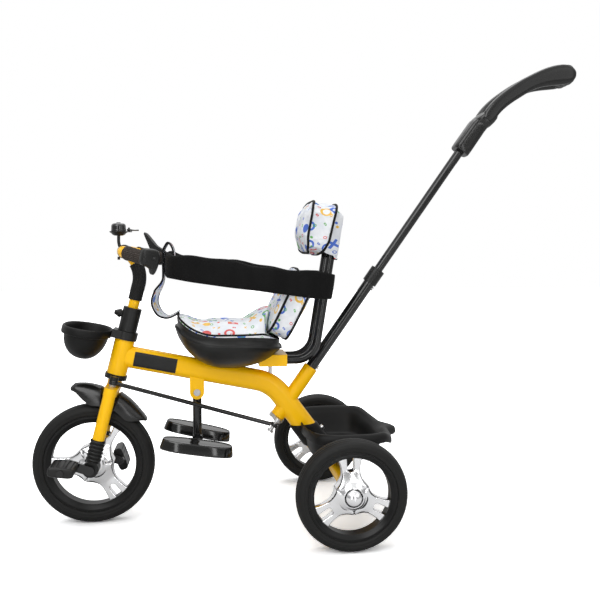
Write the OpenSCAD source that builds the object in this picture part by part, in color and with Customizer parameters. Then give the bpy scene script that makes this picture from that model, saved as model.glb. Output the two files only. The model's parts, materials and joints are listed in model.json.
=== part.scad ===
// Toddler push along trike.
// The front points along -X, the left side along -Y and the ground is Z = 0.
// The origin lies on the ground under the middle of the overall length.

/* [Layout] */
// Distance between the front and rear axles
wheelbase = 504; // [480:1:540]
// Distance between the middles of the two rear wheels
rear_track = 440; // [420:1:480]
// Backward lean of the steering axis in degrees
head_tilt = 14.5; // [12:0.5:17]
// Backward lean of the push handle in degrees
pole_tilt = 35; // [32:0.5:37]

/* [Wheels] */
// Diameter of the front tyre
front_d = 250; // [240:1:260]
// Width of the front tyre
front_w = 44; // [36:1:48]
// Depth of the front tyre from its tread to the rim
front_tyre_t = 25; // [20:0.5:30]
// Depth of the front rim from its tyre to its opening
front_rim_t = 14; // [10:0.5:18]
// Diameter of the rear tyres
rear_d = 214; // [206:1:224]
// Width of the rear tyres
rear_w = 46; // [40:1:50]
// Depth of a rear tyre from its tread to the rim
rear_tyre_t = 22; // [18:0.5:26]
// Depth of a rear rim from its tyre to its opening
rear_rim_t = 12; // [9:0.5:16]
// Radius of the crown across a tread
tread_r = 34; // [30:1:60]
// Width of a rim
rim_w = 36; // [30:1:36]
// Width of a spoke where it meets the rim
spoke_w = 46; // [38:1:50]
// Width of a spoke half way out
spoke_mid_w = 34; // [28:1:38]
// Width of the slot in a spoke's end
slot_w = 18; // [14:1:22]
// Length of the slot in a spoke's end
slot_l = 22; // [16:1:26]
// Thickness of the spokes
spoke_t = 22; // [16:1:26]
// Diameter of a wheel hub
hub_d = 40; // [34:1:46]
// Diameter of the axles
axle_d = 10; // [8:0.5:12]
// Diameter of the domed cap on a rear hub
cap_d = 36; // [30:1:40]
// Height of the domed cap on a rear hub
cap_h = 12; // [9:1:15]

/* [Cranks and pedals] */
// Distance from the axle to a pedal spindle
crank_l = 48; // [44:1:54]
// Thickness of a crank arm
crank_t = 8; // [6:0.5:10]
// Width of a crank arm
crank_w = 18; // [16:1:22]
// Diameter of a pedal spindle
spindle_d = 8; // [6:0.5:9]
// Length of a pedal block across the trike
pedal_l = 62; // [54:1:74]
// Depth of a pedal block along the trike
pedal_b = 48; // [42:1:58]
// Thickness of a pedal block
pedal_h = 20; // [16:1:22]
// Angle of the left crank seen from the left, from the rear upwards
crank_angle = 160; // [140:1:200]
// Tilt of the left pedal block in degrees
pedal_tilt_l = 8; // [-20:1:20]
// Tilt of the right pedal block in degrees
pedal_tilt_r = 70; // [40:1:80]

/* [Steering] */
// Distance of a fork leg from the middle
leg_y = 43; // [41:0.5:46]
// Diameter of a fork leg
leg_d = 25; // [22:0.5:26]
// Diameter of the fork leg inside its boot
leg_in_d = 18; // [15:0.5:19]
// Greatest diameter of a fork boot
boot_d = 33; // [32:0.5:35]
// Height of the boot above the axle
boot_l = 60; // [50:1:66]
// Gap from the tyre to the underside of the fork crown
crown_gap = 27; // [25:0.5:34]
// Height of the fork crown
crown_h = 16; // [12:0.5:20]
// Room for the rod eye between the crown and the steering ring
eye_room = 13.7; // [13:0.1:18]
// Height of the steering ring under the head tube
ring_h = 10; // [9:0.5:14]
// Diameter of the steering ring
ring_d = 46; // [42:1:50]
// Length of the head tube
head_l = 74; // [66:1:84]
// Diameter of the head tube
head_d = 41; // [38:0.5:46]
// Diameter of the steerer tube
steerer_d = 28; // [26:0.5:30]
// Height of the basket ring on the head tube
bring_h = 17; // [14:0.5:20]
// Diameter of the basket ring
bring_d = 47; // [42:1:50]
// Height of the stem collar
collar_h = 50; // [44:1:56]
// Diameter of the stem collar
collar_d = 38; // [34:1:42]
// Distance from the steering axis and from the handle axis to the rod pins
arm_r = 28; // [27:0.5:30]
// Diameter of the steering rod
rod_d = 9; // [7:0.5:10]
// Diameter of the pins at the ends of the steering rod
pin_d = 8; // [6:0.5:8]

/* [Handlebar] */
// Diameter of the stem and the handlebar tube
stem_d = 22; // [20:0.5:24]
// Distance of the stem bend above the stem collar
stem_up = 50; // [44:1:60]
// Radius of the stem bend
stem_r = 60; // [50:1:70]
// Forward turn of the stem bend in degrees
stem_turn = 50; // [40:1:55]
// Straight length from the stem bend to the cross tube
stem_end = 22; // [16:1:30]
// Half of the straight cross tube
bar_half = 80; // [74:1:86]
// Backward sweep of the bar ends in degrees
sweep = 38; // [30:1:42]
// Radius of the bends in the bar
bar_r = 40; // [34:1:50]
// Length of a grip
grip_l = 70; // [60:1:76]
// Diameter of a grip over its ribs
grip_d = 29; // [27:0.5:31]
// Diameter of the foam sleeve on the stem
sleeve_d = 28; // [26:0.5:32]
// Distance of the bell from the middle
bell_y = 58; // [50:1:64]
// Diameter of the bell dome
bell_d = 30; // [26:1:34]

/* [Mudguard and front basket] */
// Half width of the mudguard
guard_half = 29.5; // [27:0.5:30]
// Thickness of the mudguard shell
guard_t = 2.6; // [2:0.1:3]
// Radius of the mudguard over its top
guard_r = 178; // [165:1:190]
// Length of the front basket's rim along the trike
fb_l = 102; // [90:1:116]
// Width of the front basket's rim
fb_w = 152; // [130:1:170]
// Depth of the front basket
fb_h = 62; // [50:1:66]
// Wall thickness of the baskets
wall = 3; // [2.5:0.5:4]

/* [Frame] */
// Width of the oval main tube
tube_w = 35; // [32:0.5:38]
// Height of the oval main tube
tube_h = 46; // [42:0.5:50]
// Wall of the main tube
tube_t = 2; // [1.5:0.5:3]
// Distance of the main tube's bend ahead of the rear axle
bend_fwd = 131.6; // [126:0.5:137]
// Distance of the main tube's bend above the rear axle
bend_up = 177.8; // [172:0.5:183]
// Radius of the main tube's bend
bend_r = 85; // [75:1:90]
// Diameter of the axle tube
axle_tube_d = 26; // [22:0.5:30]
// Distance of the handle socket below the main tube's bend
socket_at = 54; // [52:0.5:60]
// Diameter of the handle socket
socket_d = 31; // [29:0.5:34]
// Length of the handle socket above the main tube
socket_l = 92; // [84:1:100]
// Length of the handle socket below the main tube
socket_low = 35; // [33:0.5:38]
// Length of the label plate
plate_l = 88; // [70:1:90]
// Height of the label plate
plate_h = 30; // [24:1:34]

/* [Push handle] */
// Diameter of the lower handle tube
pole_d = 24; // [22:0.5:26]
// Inner diameter of the lower handle tube
pole_in_d = 19.4; // [18:0.1:20]
// Length of the lower handle tube above the socket's middle
pole_l = 331; // [310:1:350]
// Diameter of the handle collar
pcollar_d = 31; // [29:0.5:34]
// Length of the handle collar
pcollar_l = 34; // [30:1:40]
// Diameter of the upper handle tube
upper_d = 19; // [17.5:0.1:19]
// Length of the upper tube above the lower tube
upper_l = 340; // [320:1:360]
// Length of the upper tube inside the lower tube
upper_in = 115; // [108:1:120]
// Length of the grip clamp
clamp_l = 77; // [68:1:90]
// Depth of the grip clamp
clamp_b = 34; // [30:1:38]
// Width of the grip clamp
clamp_w = 46; // [40:1:52]
// Distance of the loop's arms from the middle
arm_y = 24; // [22:0.5:28]
// Width of a loop arm
arm_w = 17; // [14:0.5:18]
// Depth of a loop arm
arm_t = 33; // [28:0.5:36]
// Radius of the loop's bend
loop_r = 215; // [190:1:230]
// Turn of the loop's bend in degrees
loop_turn = 48; // [42:1:54]
// Straight length from the loop's bend to the cross grip
loop_tail = 22; // [16:1:30]
// Diameter of the spring buttons
button_d = 8; // [6:0.5:8]

/* [Seat] */
// Distance of the seat's middle ahead of the rear axle
seat_fwd = 223; // [218:1:228]
// Length of the seat tub
tub_l = 224; // [216:1:232]
// Width of the seat tub
tub_w = 226; // [214:1:232]
// Height of the tub's front lip above its underside
tub_front = 109; // [102:1:114]
// Height of the tub's sides above its underside
tub_side = 74; // [70:1:80]
// Height of the tub's rear edge above its underside
tub_rear = 62; // [58:1:64]
// Height of the cushion's top above the tub's underside
cushion_top = 106; // [100:1:112]
// Depth of the tub's underside below the top of the main tube
tub_sink = 7; // [5:0.5:8]
// Lean of the back pad in degrees
pad_tilt = 26; // [24:0.5:29]
// Height of the back pad
pad_h = 148; // [136:1:154]
// Width of the back pad
pad_w = 196; // [180:1:206]
// Thickness of the back pad at its edge
pad_t = 38; // [34:1:40]
// Swell of the pads' faces
pad_swell = 12; // [8:0.5:14]
// Diameter of the backrest posts
post_d = 18; // [16:0.5:19]
// Distance of a backrest post from the middle
post_y = 33; // [31:0.5:36]
// Lean of the backrest posts in degrees
post_tilt = 9; // [8:0.5:11]
// Radius of the bend in the backrest posts
post_r = 46; // [40:1:50]
// Length of the posts above their bend
post_l = 262; // [250:1:275]
// Length of the posts inside the headrest pad
rest_lap = 83; // [74:1:90]
// Height of the headrest pad
rest_h = 108; // [96:1:118]
// Width of the headrest pad
rest_w = 164; // [150:1:180]
// Thickness of the headrest pad at its edge
rest_t = 66; // [58:1:72]
// Half width of the guard ring
hoop_y = 112; // [108:1:113]
// Distance of the guard ring's front ahead of the posts
hoop_l = 332; // [322:1:338]
// Height of the guard ring's band
hoop_h = 52; // [46:1:56]
// Thickness of the guard ring's band
hoop_t = 14; // [11:0.5:15]
// Height of the guard ring's rear above the bend of the posts
hoop_up = 152; // [144:1:158]
// Rise of the guard ring's front above its rear
hoop_rise = 46; // [40:1:52]
// Width of the crotch strap
strap_w = 56; // [46:1:64]
// How far the strap bows out ahead of the tub
strap_bow = 31; // [20:1:36]
// Height of the strap's loop over the ring
strap_loop = 19; // [12:1:24]
// Thickness of the crotch strap
strap_t = 4; // [3:0.5:5]

/* [Footrest] */
// Distance of the footrest pivot ahead of the rear axle
foot_fwd = 290; // [285:1:295]
// Drop of the pivot below the main tube
foot_drop = 24; // [22:0.5:28]
// Length of the footrest post from pivot to bar
foot_l = 100; // [92:1:106]
// Diameter of the footrest post
foot_d = 19; // [17:0.5:20]
// Diameter of the footrest cross bar
foot_bar_d = 14; // [12:0.5:15]
// Length of a foot pad
foot_pad_l = 148; // [130:1:150]
// Width of a foot pad
foot_pad_w = 60; // [52:1:64]
// Thickness of a foot pad
foot_pad_h = 20; // [18:0.5:24]
// Distance of a foot pad's inner edge from the middle
foot_pad_y = 43; // [42:0.5:50]

/* [Rear basket] */
// Distance of the rear basket's front ahead of the rear axle
rb_front = 93; // [88:1:95]
// Distance of the rear basket's rear behind the rear axle
rb_rear = 112; // [100:1:122]
// Width of the rear basket's rim
rb_w = 300; // [270:1:320]
// Height of the rear basket's rim above the ground
rb_top = 196; // [188:1:204]

/* [Clearances] */
// Clearance on the radius of pins, tubes and bores
fit = 0.1; // [0.05:0.01:0.15]
// Gap between seated pieces
seat_gap = 0.3; // [0.2:0.05:0.4]

/* [Hidden] */
$fn = 64;
// A bent run of tube is this much fatter than the straight runs that lap into it
swage = 0.15;
lap = 1.5;

yellow = [0.97, 0.66, 0.04];
black = [0.07, 0.07, 0.075];
chrome = [0.80, 0.80, 0.82];
cloth = [0.93, 0.94, 0.96];
rubber = [0.30, 0.27, 0.25];

front_r = front_d / 2;
rear_r = rear_d / 2;

// Heights along the steering axis, measured from the front axle
crown_s = front_r + crown_gap;
eye_s = crown_s + crown_h;
ring_s = eye_s + eye_room;
front_seat_d = front_d - 2 * front_tyre_t;
front_open_d = front_seat_d - 2 * front_rim_t;
rear_seat_d = rear_d - 2 * rear_tyre_t;
rear_open_d = rear_seat_d - 2 * rear_rim_t;
stem_low = ring_s + 8;
bar_drop = 15;
head_s = ring_s + ring_h + seat_gap;
bring_s = head_s + head_l + seat_gap;
collar_s = bring_s + bring_h + seat_gap;
collar_top = collar_s + collar_h;
steerer_top = collar_s + collar_h * 0.34;
bend_s = collar_top + stem_up;
bar_x = -stem_r * (1 - cos(stem_turn)) - stem_end * sin(stem_turn);
bar_s = bend_s + stem_r * sin(stem_turn) + stem_end * cos(stem_turn);

// Main tube in the plane of the trike, measured from the rear axle on the ground
head_mid = head_s + head_l * 0.53;
head_p = [-wheelbase + head_mid * sin(head_tilt), front_r + head_mid * cos(head_tilt)];
bend_p = [-bend_fwd, rear_r + bend_up];
front_dir = bend_p - head_p;
front_fall = atan2(-front_dir[1], front_dir[0]);
front_len = norm(front_dir);
rear_fall = atan2(bend_up, bend_fwd);
bend_turn = rear_fall - front_fall;
bend_cut = bend_r * tan(bend_turn / 2);
tube_dir1 = [cos(front_fall), -sin(front_fall)];
tube_dir2 = [cos(rear_fall), -sin(rear_fall)];
bend_in = bend_p - bend_cut * tube_dir1;
bend_out = bend_p + bend_cut * tube_dir2;
bend_c = bend_in + bend_r * [-sin(front_fall), -cos(front_fall)];
leg_end = norm([bend_fwd, bend_up]) - bend_cut - axle_tube_d * 0.3;
function tube_mid(x) = head_p[1] - (x - head_p[0]) * tan(front_fall);
function tube_top(x) = tube_mid(x) + tube_h / 2 / cos(front_fall);
function tube_low(x) = tube_mid(x) - tube_h / 2 / cos(front_fall);

// Push handle axis
pole_p = bend_p + socket_at * tube_dir2;
lever_t = 8;
lever_z = -socket_low - seat_gap - lever_t;
eye_h = 7;
eye_d = pin_d + 10;
eye_play = 5;
nut_play = 8.5;
rod_z = lever_z - eye_play - eye_h / 2;
nut_z = rod_z - eye_h / 2 - nut_play;
pole_low = lever_z;
button_z1 = socket_l + button_d / 2 + 3;
button_z2 = pole_l - 26;
upper_low = pole_l - upper_in;
upper_top = pole_l + upper_l;
clamp_z = upper_top - 15;
clamp_top = clamp_z + clamp_l;
loop_x = 10;
loop_z = clamp_top + 22;
loop_base = 18;
button_out = 2.4;
groove_d = 2.6;

// Overall reach to the front and to the rear, which centre the origin
reach_front = wheelbase + front_r;
loop_arc_x = loop_x + loop_r * (1 - cos(loop_turn));
loop_arc_z = loop_z + loop_r * sin(loop_turn);
loop_end_x = loop_arc_x + loop_tail * sin(loop_turn);
loop_end_z = loop_arc_z + loop_tail * cos(loop_turn);
reach_rear = pole_p[0] + loop_end_x * cos(pole_tilt) + loop_end_z * sin(pole_tilt) + arm_t / 2 + 0.5;
shift_x = (reach_front - reach_rear) / 2;

// Seat
seat_x = -seat_fwd;
tub_z = tube_top(seat_x) - tub_sink;
sit_z = tub_z + cushion_top;
post_z = tub_z + 18;
post_bend_x = seat_x + tub_l / 2 + 66;
post_top_dir = [sin(post_tilt), cos(post_tilt)];
bend_a = 90 - post_tilt;
post_foot = post_bend_x - post_r * tan(bend_a / 2);
bracket_h = post_d + 6;
bracket_x0 = seat_x + 62;
bracket_x1 = seat_x + tub_l / 2 + 8;
post_start = bracket_x1 - 24;
post_arc_c = [post_foot, post_z + post_r];
post_arc_end = [post_foot + post_r * sin(bend_a), post_z + post_r * (1 - cos(bend_a))];
hoop_z = post_z + hoop_up;
function post_x(z) = post_arc_end[0] + (z - post_arc_end[1]) * tan(post_tilt);
hoop_nip = 1.6;
hoop_rear = post_x(hoop_z + hoop_h / 2) + post_d / 2 / cos(post_tilt) + seat_gap - hoop_nip;
hoop_front = post_x(hoop_z) - hoop_l;
hoop_a = (hoop_rear + hoop_t - hoop_front) / 2 - hoop_t / 2;
hoop_cx = hoop_front + hoop_t / 2 + hoop_a;
rest_z = post_arc_end[1] + (post_l - rest_lap) * cos(post_tilt);
strut_x = seat_x + tub_l / 2 - 24;

// Footrest
foot_x = -foot_fwd;
foot_z = tube_low(foot_x) - foot_drop;
cheek_in = foot_d / 2 + seat_gap;
cheek_t = 4;

// Rear basket
rb_low = rear_r + axle_tube_d / 2 + 4;
rb_mid = (rb_rear - rb_front) / 2;
rb_a = (rb_front + rb_rear) / 2;

hub_w = rear_w;
wheel_gap = 0.4;
front_hub = 2 * leg_y - boot_d - 2;
boot_out = leg_y + boot_d / 2;
crank_y = boot_out + 2;
pedal_y = crank_y + crank_t + seat_gap;
stub_l = pedal_l + seat_gap;

// Signed power, for rounded outlines
function spow(v, p) = sign(v) * pow(abs(v), p);
function outline(a, b, n, t) = [a * spow(cos(t), 2 / n), b * spow(sin(t), 2 / n)];
function flat(l) = [for (q = l) each q];

// Closes a stack of rings of points into one solid
module skin(rings, loop = false) {
  m = len(rings);
  n = len(rings[0]);
  mid0 = [for (k = [0:2]) (rings[0][0][k] + rings[0][floor(n / 2)][k]) / 2];
  mid1 = [for (k = [0:2]) (rings[m - 1][0][k] + rings[m - 1][floor(n / 2)][k]) / 2];
  side = [
    for (i = [0:(loop ? m - 1 : m - 2)])
      for (j = [0:n - 1])
        let (
          a = i * n + j,
          b = i * n + (j + 1) % n,
          c = ((i + 1) % m) * n + (j + 1) % n,
          d = ((i + 1) % m) * n + j
        )
        each [[a, c, b], [a, d, c]]
  ];
  ends = loop ? [] : [
    for (j = [0:n - 1])
      each [[m * n, j, (j + 1) % n], [m * n + 1, (m - 1) * n + (j + 1) % n, (m - 1) * n + j]]
  ];
  polyhedron(
    points = concat(flat(rings), loop ? [] : [mid0, mid1]),
    faces = concat(side, ends),
    convexity = 8
  );
}

// Moves a piece drawn from the rear axle to the part's own origin
module base() {
  translate([shift_x, 0, 0]) children();
}

// Turns a piece drawn about Z so that it lies along Y
module across() {
  rotate([90, 0, 0]) children();
}

// Steering axis with its zero at the front axle
module steer() {
  base() translate([-wheelbase, 0, front_r]) rotate([0, head_tilt, 0]) children();
}

// Handle axis with its zero in the middle of the main tube
module pole() {
  base() translate([pole_p[0], 0, pole_p[1]]) rotate([0, pole_tilt, 0]) children();
}

// Oval section, tall along X
module oval(h, w) {
  union() {
    square([h - w, w], center = true);
    translate([(h - w) / 2, 0]) circle(d = w);
    translate([-(h - w) / 2, 0]) circle(d = w);
  }
}

// Long hole or bar outline from the centre to a point along X
module link_plan(l, w) {
  union() {
    translate([0, -w / 2]) square([l, w]);
    circle(d = w);
    translate([l, 0]) circle(d = w);
  }
}

// Section of the main tube; a hollow one keeps its wall centred when it grows
module tube_section(grow, hollow) {
  difference() {
    oval(tube_h + 2 * grow, tube_w + 2 * grow);
    if (hollow) oval(tube_h - 2 * tube_t - 2 * grow, tube_w - 2 * tube_t - 2 * grow);
  }
}

// Straight front run of the main tube
module front_run(grow, hollow) {
  translate([head_p[0], 0, head_p[1]])
    rotate([0, 90 + front_fall, 0])
      linear_extrude(front_len - bend_cut + lap) tube_section(grow, hollow);
}

// Straight rear run of the main tube
module rear_run(grow, hollow, l) {
  translate([bend_out[0], 0, bend_out[1]])
    rotate([0, 90 + rear_fall, 0])
      translate([0, 0, -lap]) linear_extrude(l + lap) tube_section(grow, hollow);
}

module bend_run(grow, hollow) {
  translate([bend_c[0], 0, bend_c[1]])
    rotate([90, 0, 0])
      rotate([0, 0, 90 - rear_fall])
        rotate_extrude(angle = bend_turn)
          translate([bend_r, 0]) tube_section(grow + swage, hollow);
}

// Cheeks that carry the footrest
module cheeks() {
  for (s = [-1, 1])
    translate([foot_x, s * (cheek_in + cheek_t / 2), foot_z])
      across() linear_extrude(cheek_t, center = true)
        union() {
          circle(d = 30);
          translate([-15, 0]) square([30, foot_drop + tube_w / 2]);
        }
}

module main_frame() {
  color(yellow) base() difference() {
    union() {
      front_run(0, true);
      bend_run(0, true);
      rear_run(0, true, leg_end);
      translate([-wheelbase, 0, front_r]) rotate([0, head_tilt, 0])
        translate([0, 0, head_s]) cylinder(d = head_d, h = head_l);
      translate([pole_p[0], 0, pole_p[1]]) rotate([0, pole_tilt, 0])
        translate([0, 0, -socket_low]) cylinder(d = socket_d, h = socket_low + socket_l);
      translate([0, 0, rear_r]) across()
        cylinder(d = axle_tube_d, h = rear_track - hub_w - 2 * wheel_gap, center = true);
      difference() {
        cheeks();
        front_run(-tube_t / 2, false);
      }
    }
    translate([-wheelbase, 0, front_r]) rotate([0, head_tilt, 0])
      translate([0, 0, head_s - 1]) cylinder(d = steerer_d + 2 * fit, h = head_l + 2);
    translate([pole_p[0], 0, pole_p[1]]) rotate([0, pole_tilt, 0])
      translate([0, 0, -socket_low - 1]) cylinder(d = pole_d + 2 * fit, h = socket_low + socket_l + 2);
    translate([0, 0, rear_r]) across()
      cylinder(d = axle_d + 2 * fit, h = rear_track, center = true);
    translate([foot_x, 0, foot_z]) across()
      cylinder(d = pin_d + 2 * fit, h = 80, center = true);
    translate([strut_x, 0, tube_mid(strut_x)]) cylinder(d = pin_d + 2 * fit, h = tube_h);
  }
}

module label_plate() {
  color(black) base() translate([head_p[0], 0, head_p[1]])
    rotate([0, 90 + front_fall, 0])
      translate([0, 0, head_d / 2 + 8])
        linear_extrude(plate_l)
          intersection() {
            difference() {
              oval(tube_h + 2 * fit + 1.6, tube_w + 2 * fit + 1.6);
              oval(tube_h + 2 * fit, tube_w + 2 * fit);
            }
            translate([-plate_h / 2, -tube_w]) square([plate_h, tube_w]);
          }
}

module rear_axle() {
  color(chrome) base() translate([0, 0, rear_r]) across()
    cylinder(d = axle_d, h = rear_track + rear_w + 6, center = true);
}

// Solid under side of the seat tub and its hollow, as stacked rings
function tub_rim(t) = let (c = cos(t), f = (1 - c) / 2)
  tub_side + (c < 0 ? (tub_front - tub_side) : (tub_rear - tub_side)) * pow(abs(c), 2.2);
function tub_ring(a, b, v, lift, low) = [
  for (i = [0:39])
    let (t = i * 9, p = outline(a, b, 2.6, t))
    [seat_x + p[0] * sin(v), p[1] * sin(v), tub_z + low + (tub_rim(t) - low) * (1 - cos(v)) + lift]
];
tub_floor = 34;
tub_wall = 5;
cushion_gap = 0.4;

module tub_hull(grow) {
  skin([for (v = [12, 28, 42, 56, 68, 79, 90])
    tub_ring(tub_l / 2 + grow, tub_w / 2 + grow, v, 0, -grow)]);
}

module tub_hollow(lift) {
  skin(concat(
    [for (v = [14, 30, 46, 60, 75, 90])
      tub_ring(tub_l / 2 - tub_wall - lift, tub_w / 2 - tub_wall - lift, v, lift, tub_floor)],
    [tub_ring(tub_l / 2 - tub_wall - lift, tub_w / 2 - tub_wall - lift, 90, 60, tub_floor)]
  ));
}

module seat_tub() {
  color(black) base() difference() {
    tub_hull(0);
    tub_hollow(0);
    front_run(seat_gap, false);
    bend_run(seat_gap, false);
    translate([strut_x, 0, tub_z]) cylinder(d = pin_d + 4, h = 2);
  }
}

// Cushion: its underside follows the tub, its sides draw in and its top is crowned
function cushion_ring(k, t, z) = let (p = outline(tub_l / 2 - tub_wall - 2, tub_w / 2 - tub_wall - 2, 2.6, t))
  [seat_x + p[0] * k, p[1] * k, z];
function cushion_edge(t) = tub_z + max(tub_rim(t) + 4, cushion_top - 22);

module seat_cushion() {
  n = 39;
  color(cloth) base() difference() {
    skin(concat(
      [for (v = [14, 30, 46, 60, 75, 90])
        tub_ring(tub_l / 2 - tub_wall - cushion_gap, tub_w / 2 - tub_wall - cushion_gap, v, cushion_gap, tub_floor)],
      [[for (i = [0:n]) cushion_ring(0.985, i * 9, cushion_edge(i * 9) - 4)]],
      [[for (i = [0:n]) cushion_ring(1.0, i * 9, cushion_edge(i * 9) + 6)]],
      [[for (i = [0:n]) cushion_ring(0.95, i * 9, cushion_edge(i * 9) + 14)]],
      [[for (i = [0:n]) cushion_ring(0.8, i * 9, max(sit_z - 6, cushion_edge(i * 9) + 14))]],
      [[for (i = [0:n]) cushion_ring(0.5, i * 9, sit_z - 1)]],
      [[for (i = [0:n]) cushion_ring(0.2, i * 9, sit_z)]]
    ));
    pad_place() translate([-pad_t / 2 - pad_swell - 0.4, -tub_w, -40])
      cube([tub_l, 2 * tub_w, pad_h]);
  }
}

// Place of the back pad: its foot stands at the rear of the cushion
pad_foot = [seat_x + tub_l / 2 - 13, tub_z + tub_rear + 14];
module pad_place() {
  translate([pad_foot[0], 0, pad_foot[1]]) rotate([0, pad_tilt, 0]) children();
}

// Pad with a crowned front and back and sides drawn in between two seams
module pad_form(h, w, t, swell, n) {
  rim = [for (i = [0:n - 1]) let (a = i * 360 / n, p = outline(h / 2, w / 2, 4, a)) [p[0], p[1]]];
  steps = [
    [0.35, -t / 2 - swell], [0.72, -t / 2 - swell * 0.72], [0.93, -t / 2 - swell * 0.25],
    [1.0, -t / 2 + 2], [0.975, 0], [1.0, t / 2 - 2],
    [0.93, t / 2 + swell * 0.2], [0.72, t / 2 + swell * 0.45], [0.35, t / 2 + swell * 0.55]
  ];
  skin([for (s = steps) [for (p = rim) [s[1], -p[1] * s[0], h / 2 + p[0] * s[0]]]]);
}

module back_pad() {
  color(cloth) base() difference() {
    pad_place() pad_form(pad_h, pad_w, pad_t, pad_swell, 32);
    tub_hull(seat_gap);
    for (s = [-1, 1]) translate([0, s * post_y, 0]) post_solid(seat_gap);
    hoop_band(seat_gap);
  }
}

// Headrest pad, which slips over the tops of the posts
module headrest_pad() {
  color(cloth) base() difference() {
    translate([post_x(rest_z), 0, rest_z]) rotate([0, post_tilt, 0])
      translate([-rest_t / 2 + post_d / 2 + 1, 0, 0])
        pad_form(rest_h, rest_w, rest_t - 8, 8, 32);
    for (s = [-1, 1]) translate([0, s * post_y, 0]) post_solid(seat_gap);
  }
}

// One backrest post: level foot, bend and upright
module post_solid(grow) {
  union() {
    translate([post_start, 0, post_z]) rotate([0, 90, 0])
      cylinder(d = post_d + 2 * grow, h = post_foot - post_start + lap);
    translate([post_arc_c[0], 0, post_arc_c[1]]) rotate([90, 0, 0]) rotate([0, 0, -90])
      rotate_extrude(angle = bend_a) translate([post_r, 0]) circle(d = post_d + 2 * (grow + swage));
    translate([post_arc_end[0], 0, post_arc_end[1]]) rotate([0, post_tilt, 0])
      translate([0, 0, -lap]) cylinder(d = post_d + 2 * grow, h = post_l + lap);
  }
}

module backrest_post_left() {
  color(black) base() translate([0, -post_y, 0]) post_solid(0);
}

module backrest_post_right() {
  color(black) base() translate([0, post_y, 0]) post_solid(0);
}

// Bracket under the rear of the tub, which holds the feet of the posts
module seat_bracket() {
  color(yellow) base() difference() {
    translate([bracket_x0, -post_y - bracket_h / 2, post_z - bracket_h / 2])
      cube([bracket_x1 - bracket_x0, 2 * post_y + bracket_h, bracket_h]);
    tub_hull(seat_gap);
    front_run(seat_gap, false);
    bend_run(seat_gap, false);
    for (s = [-1, 1]) translate([post_start - 1, s * post_y, post_z]) rotate([0, 90, 0])
      cylinder(d = post_d + 2 * fit, h = bracket_x1 - post_start + 2);
    translate([strut_x, 0, post_z - bracket_h]) cylinder(d = pin_d + 2 * fit, h = 2 * bracket_h);
  }
}

module seat_bolt() {
  low = tube_mid(strut_x) + tube_h / 2 - 8;
  color(chrome) base() union() {
    translate([strut_x, 0, low]) cylinder(d = pin_d, h = post_z + 2 - low);
    translate([strut_x, 0, post_z - bracket_h / 2 - 6 - seat_gap]) cylinder(d = 15, h = 6, $fn = 6);
  }
}

// Padded band round the seat, drawn as one closed loop
hoop_n = 56;
function hoop_at(i) = let (t = i * 360 / hoop_n, p = outline(hoop_a, hoop_y - hoop_t / 2, 3.4, t)) p;
function hoop_out(i) = let (a = hoop_at(i + 1) - hoop_at(i - 1)) [a[1], -a[0]] / norm(a);
function hoop_lift(x) = hoop_z + hoop_rise * (hoop_rear - x) / hoop_l;
module hoop_band(grow) {
  skin([
    for (i = [0:hoop_n - 1])
      let (p = hoop_at(i), o = hoop_out(i), z = hoop_lift(p[0] + hoop_cx))
      [for (j = [0:9])
        let (
          a = j * 36,
          h = (hoop_h / 2 + grow) * spow(cos(a), 0.55),
          w = (hoop_t / 2 + grow) * spow(sin(a), 0.8)
        )
        [hoop_cx + p[0] + o[0] * w, p[1] + o[1] * w, z + h]]
  ], true);
}

module guard_ring() {
  color(black) base() difference() {
    hoop_band(0);
    for (s = [-1, 1]) translate([0, s * post_y, 0]) post_solid(seat_gap);
  }
}

// Crotch strap from the tub's front lip up to the guard ring and over it
strap_low = [seat_x - tub_l / 2 - strap_t / 2 - 0.6, tub_z + tub_front - 6];
strap_hi = hoop_lift(hoop_front);
strap_off = hoop_front - strap_t / 2 - 0.8;
strap_in = hoop_front + hoop_t + strap_t / 2 + 0.8;
strap_pts = [
  [strap_low[0], strap_low[1]],
  [strap_low[0] - strap_bow * 0.45, strap_low[1] + strap_bow * 0.1],
  [strap_low[0] - strap_bow * 0.87, strap_low[1] + strap_bow * 0.45],
  [strap_low[0] - strap_bow, strap_low[1] + strap_bow * 1.03],
  [strap_low[0] - strap_bow * 0.84, strap_low[1] + strap_bow * 1.74],
  [strap_off - 2, strap_hi - hoop_h * 0.69],
  [strap_off, strap_hi - hoop_h * 0.42],
  [strap_off, strap_hi + hoop_h * 0.46],
  [strap_off + strap_loop / 5, strap_hi + hoop_h / 2 + strap_loop * 0.63],
  [(strap_off + strap_in) / 2, strap_hi + hoop_h / 2 + strap_loop],
  [strap_in - strap_loop / 6, strap_hi + hoop_h / 2 + strap_loop * 0.58],
  [strap_in, strap_hi + hoop_h * 0.42],
  [strap_in, strap_hi - hoop_h / 4]
];
function strap_dir(i) = let (
    a = strap_pts[min(i + 1, len(strap_pts) - 1)] - strap_pts[max(i - 1, 0)]
  ) a / norm(a);
module crotch_strap() {
  color(cloth) base() skin([
    for (i = [0:len(strap_pts) - 1])
      let (p = strap_pts[i], d = strap_dir(i))
      [for (j = [0:11])
        let (
          a = j * 30,
          w = strap_w / 2 * spow(cos(a), 0.4),
          h = strap_t / 2 * spow(sin(a), 0.8)
        )
        [p[0] - d[1] * h, w, p[1] + d[0] * h]]
  ]);
}

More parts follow.
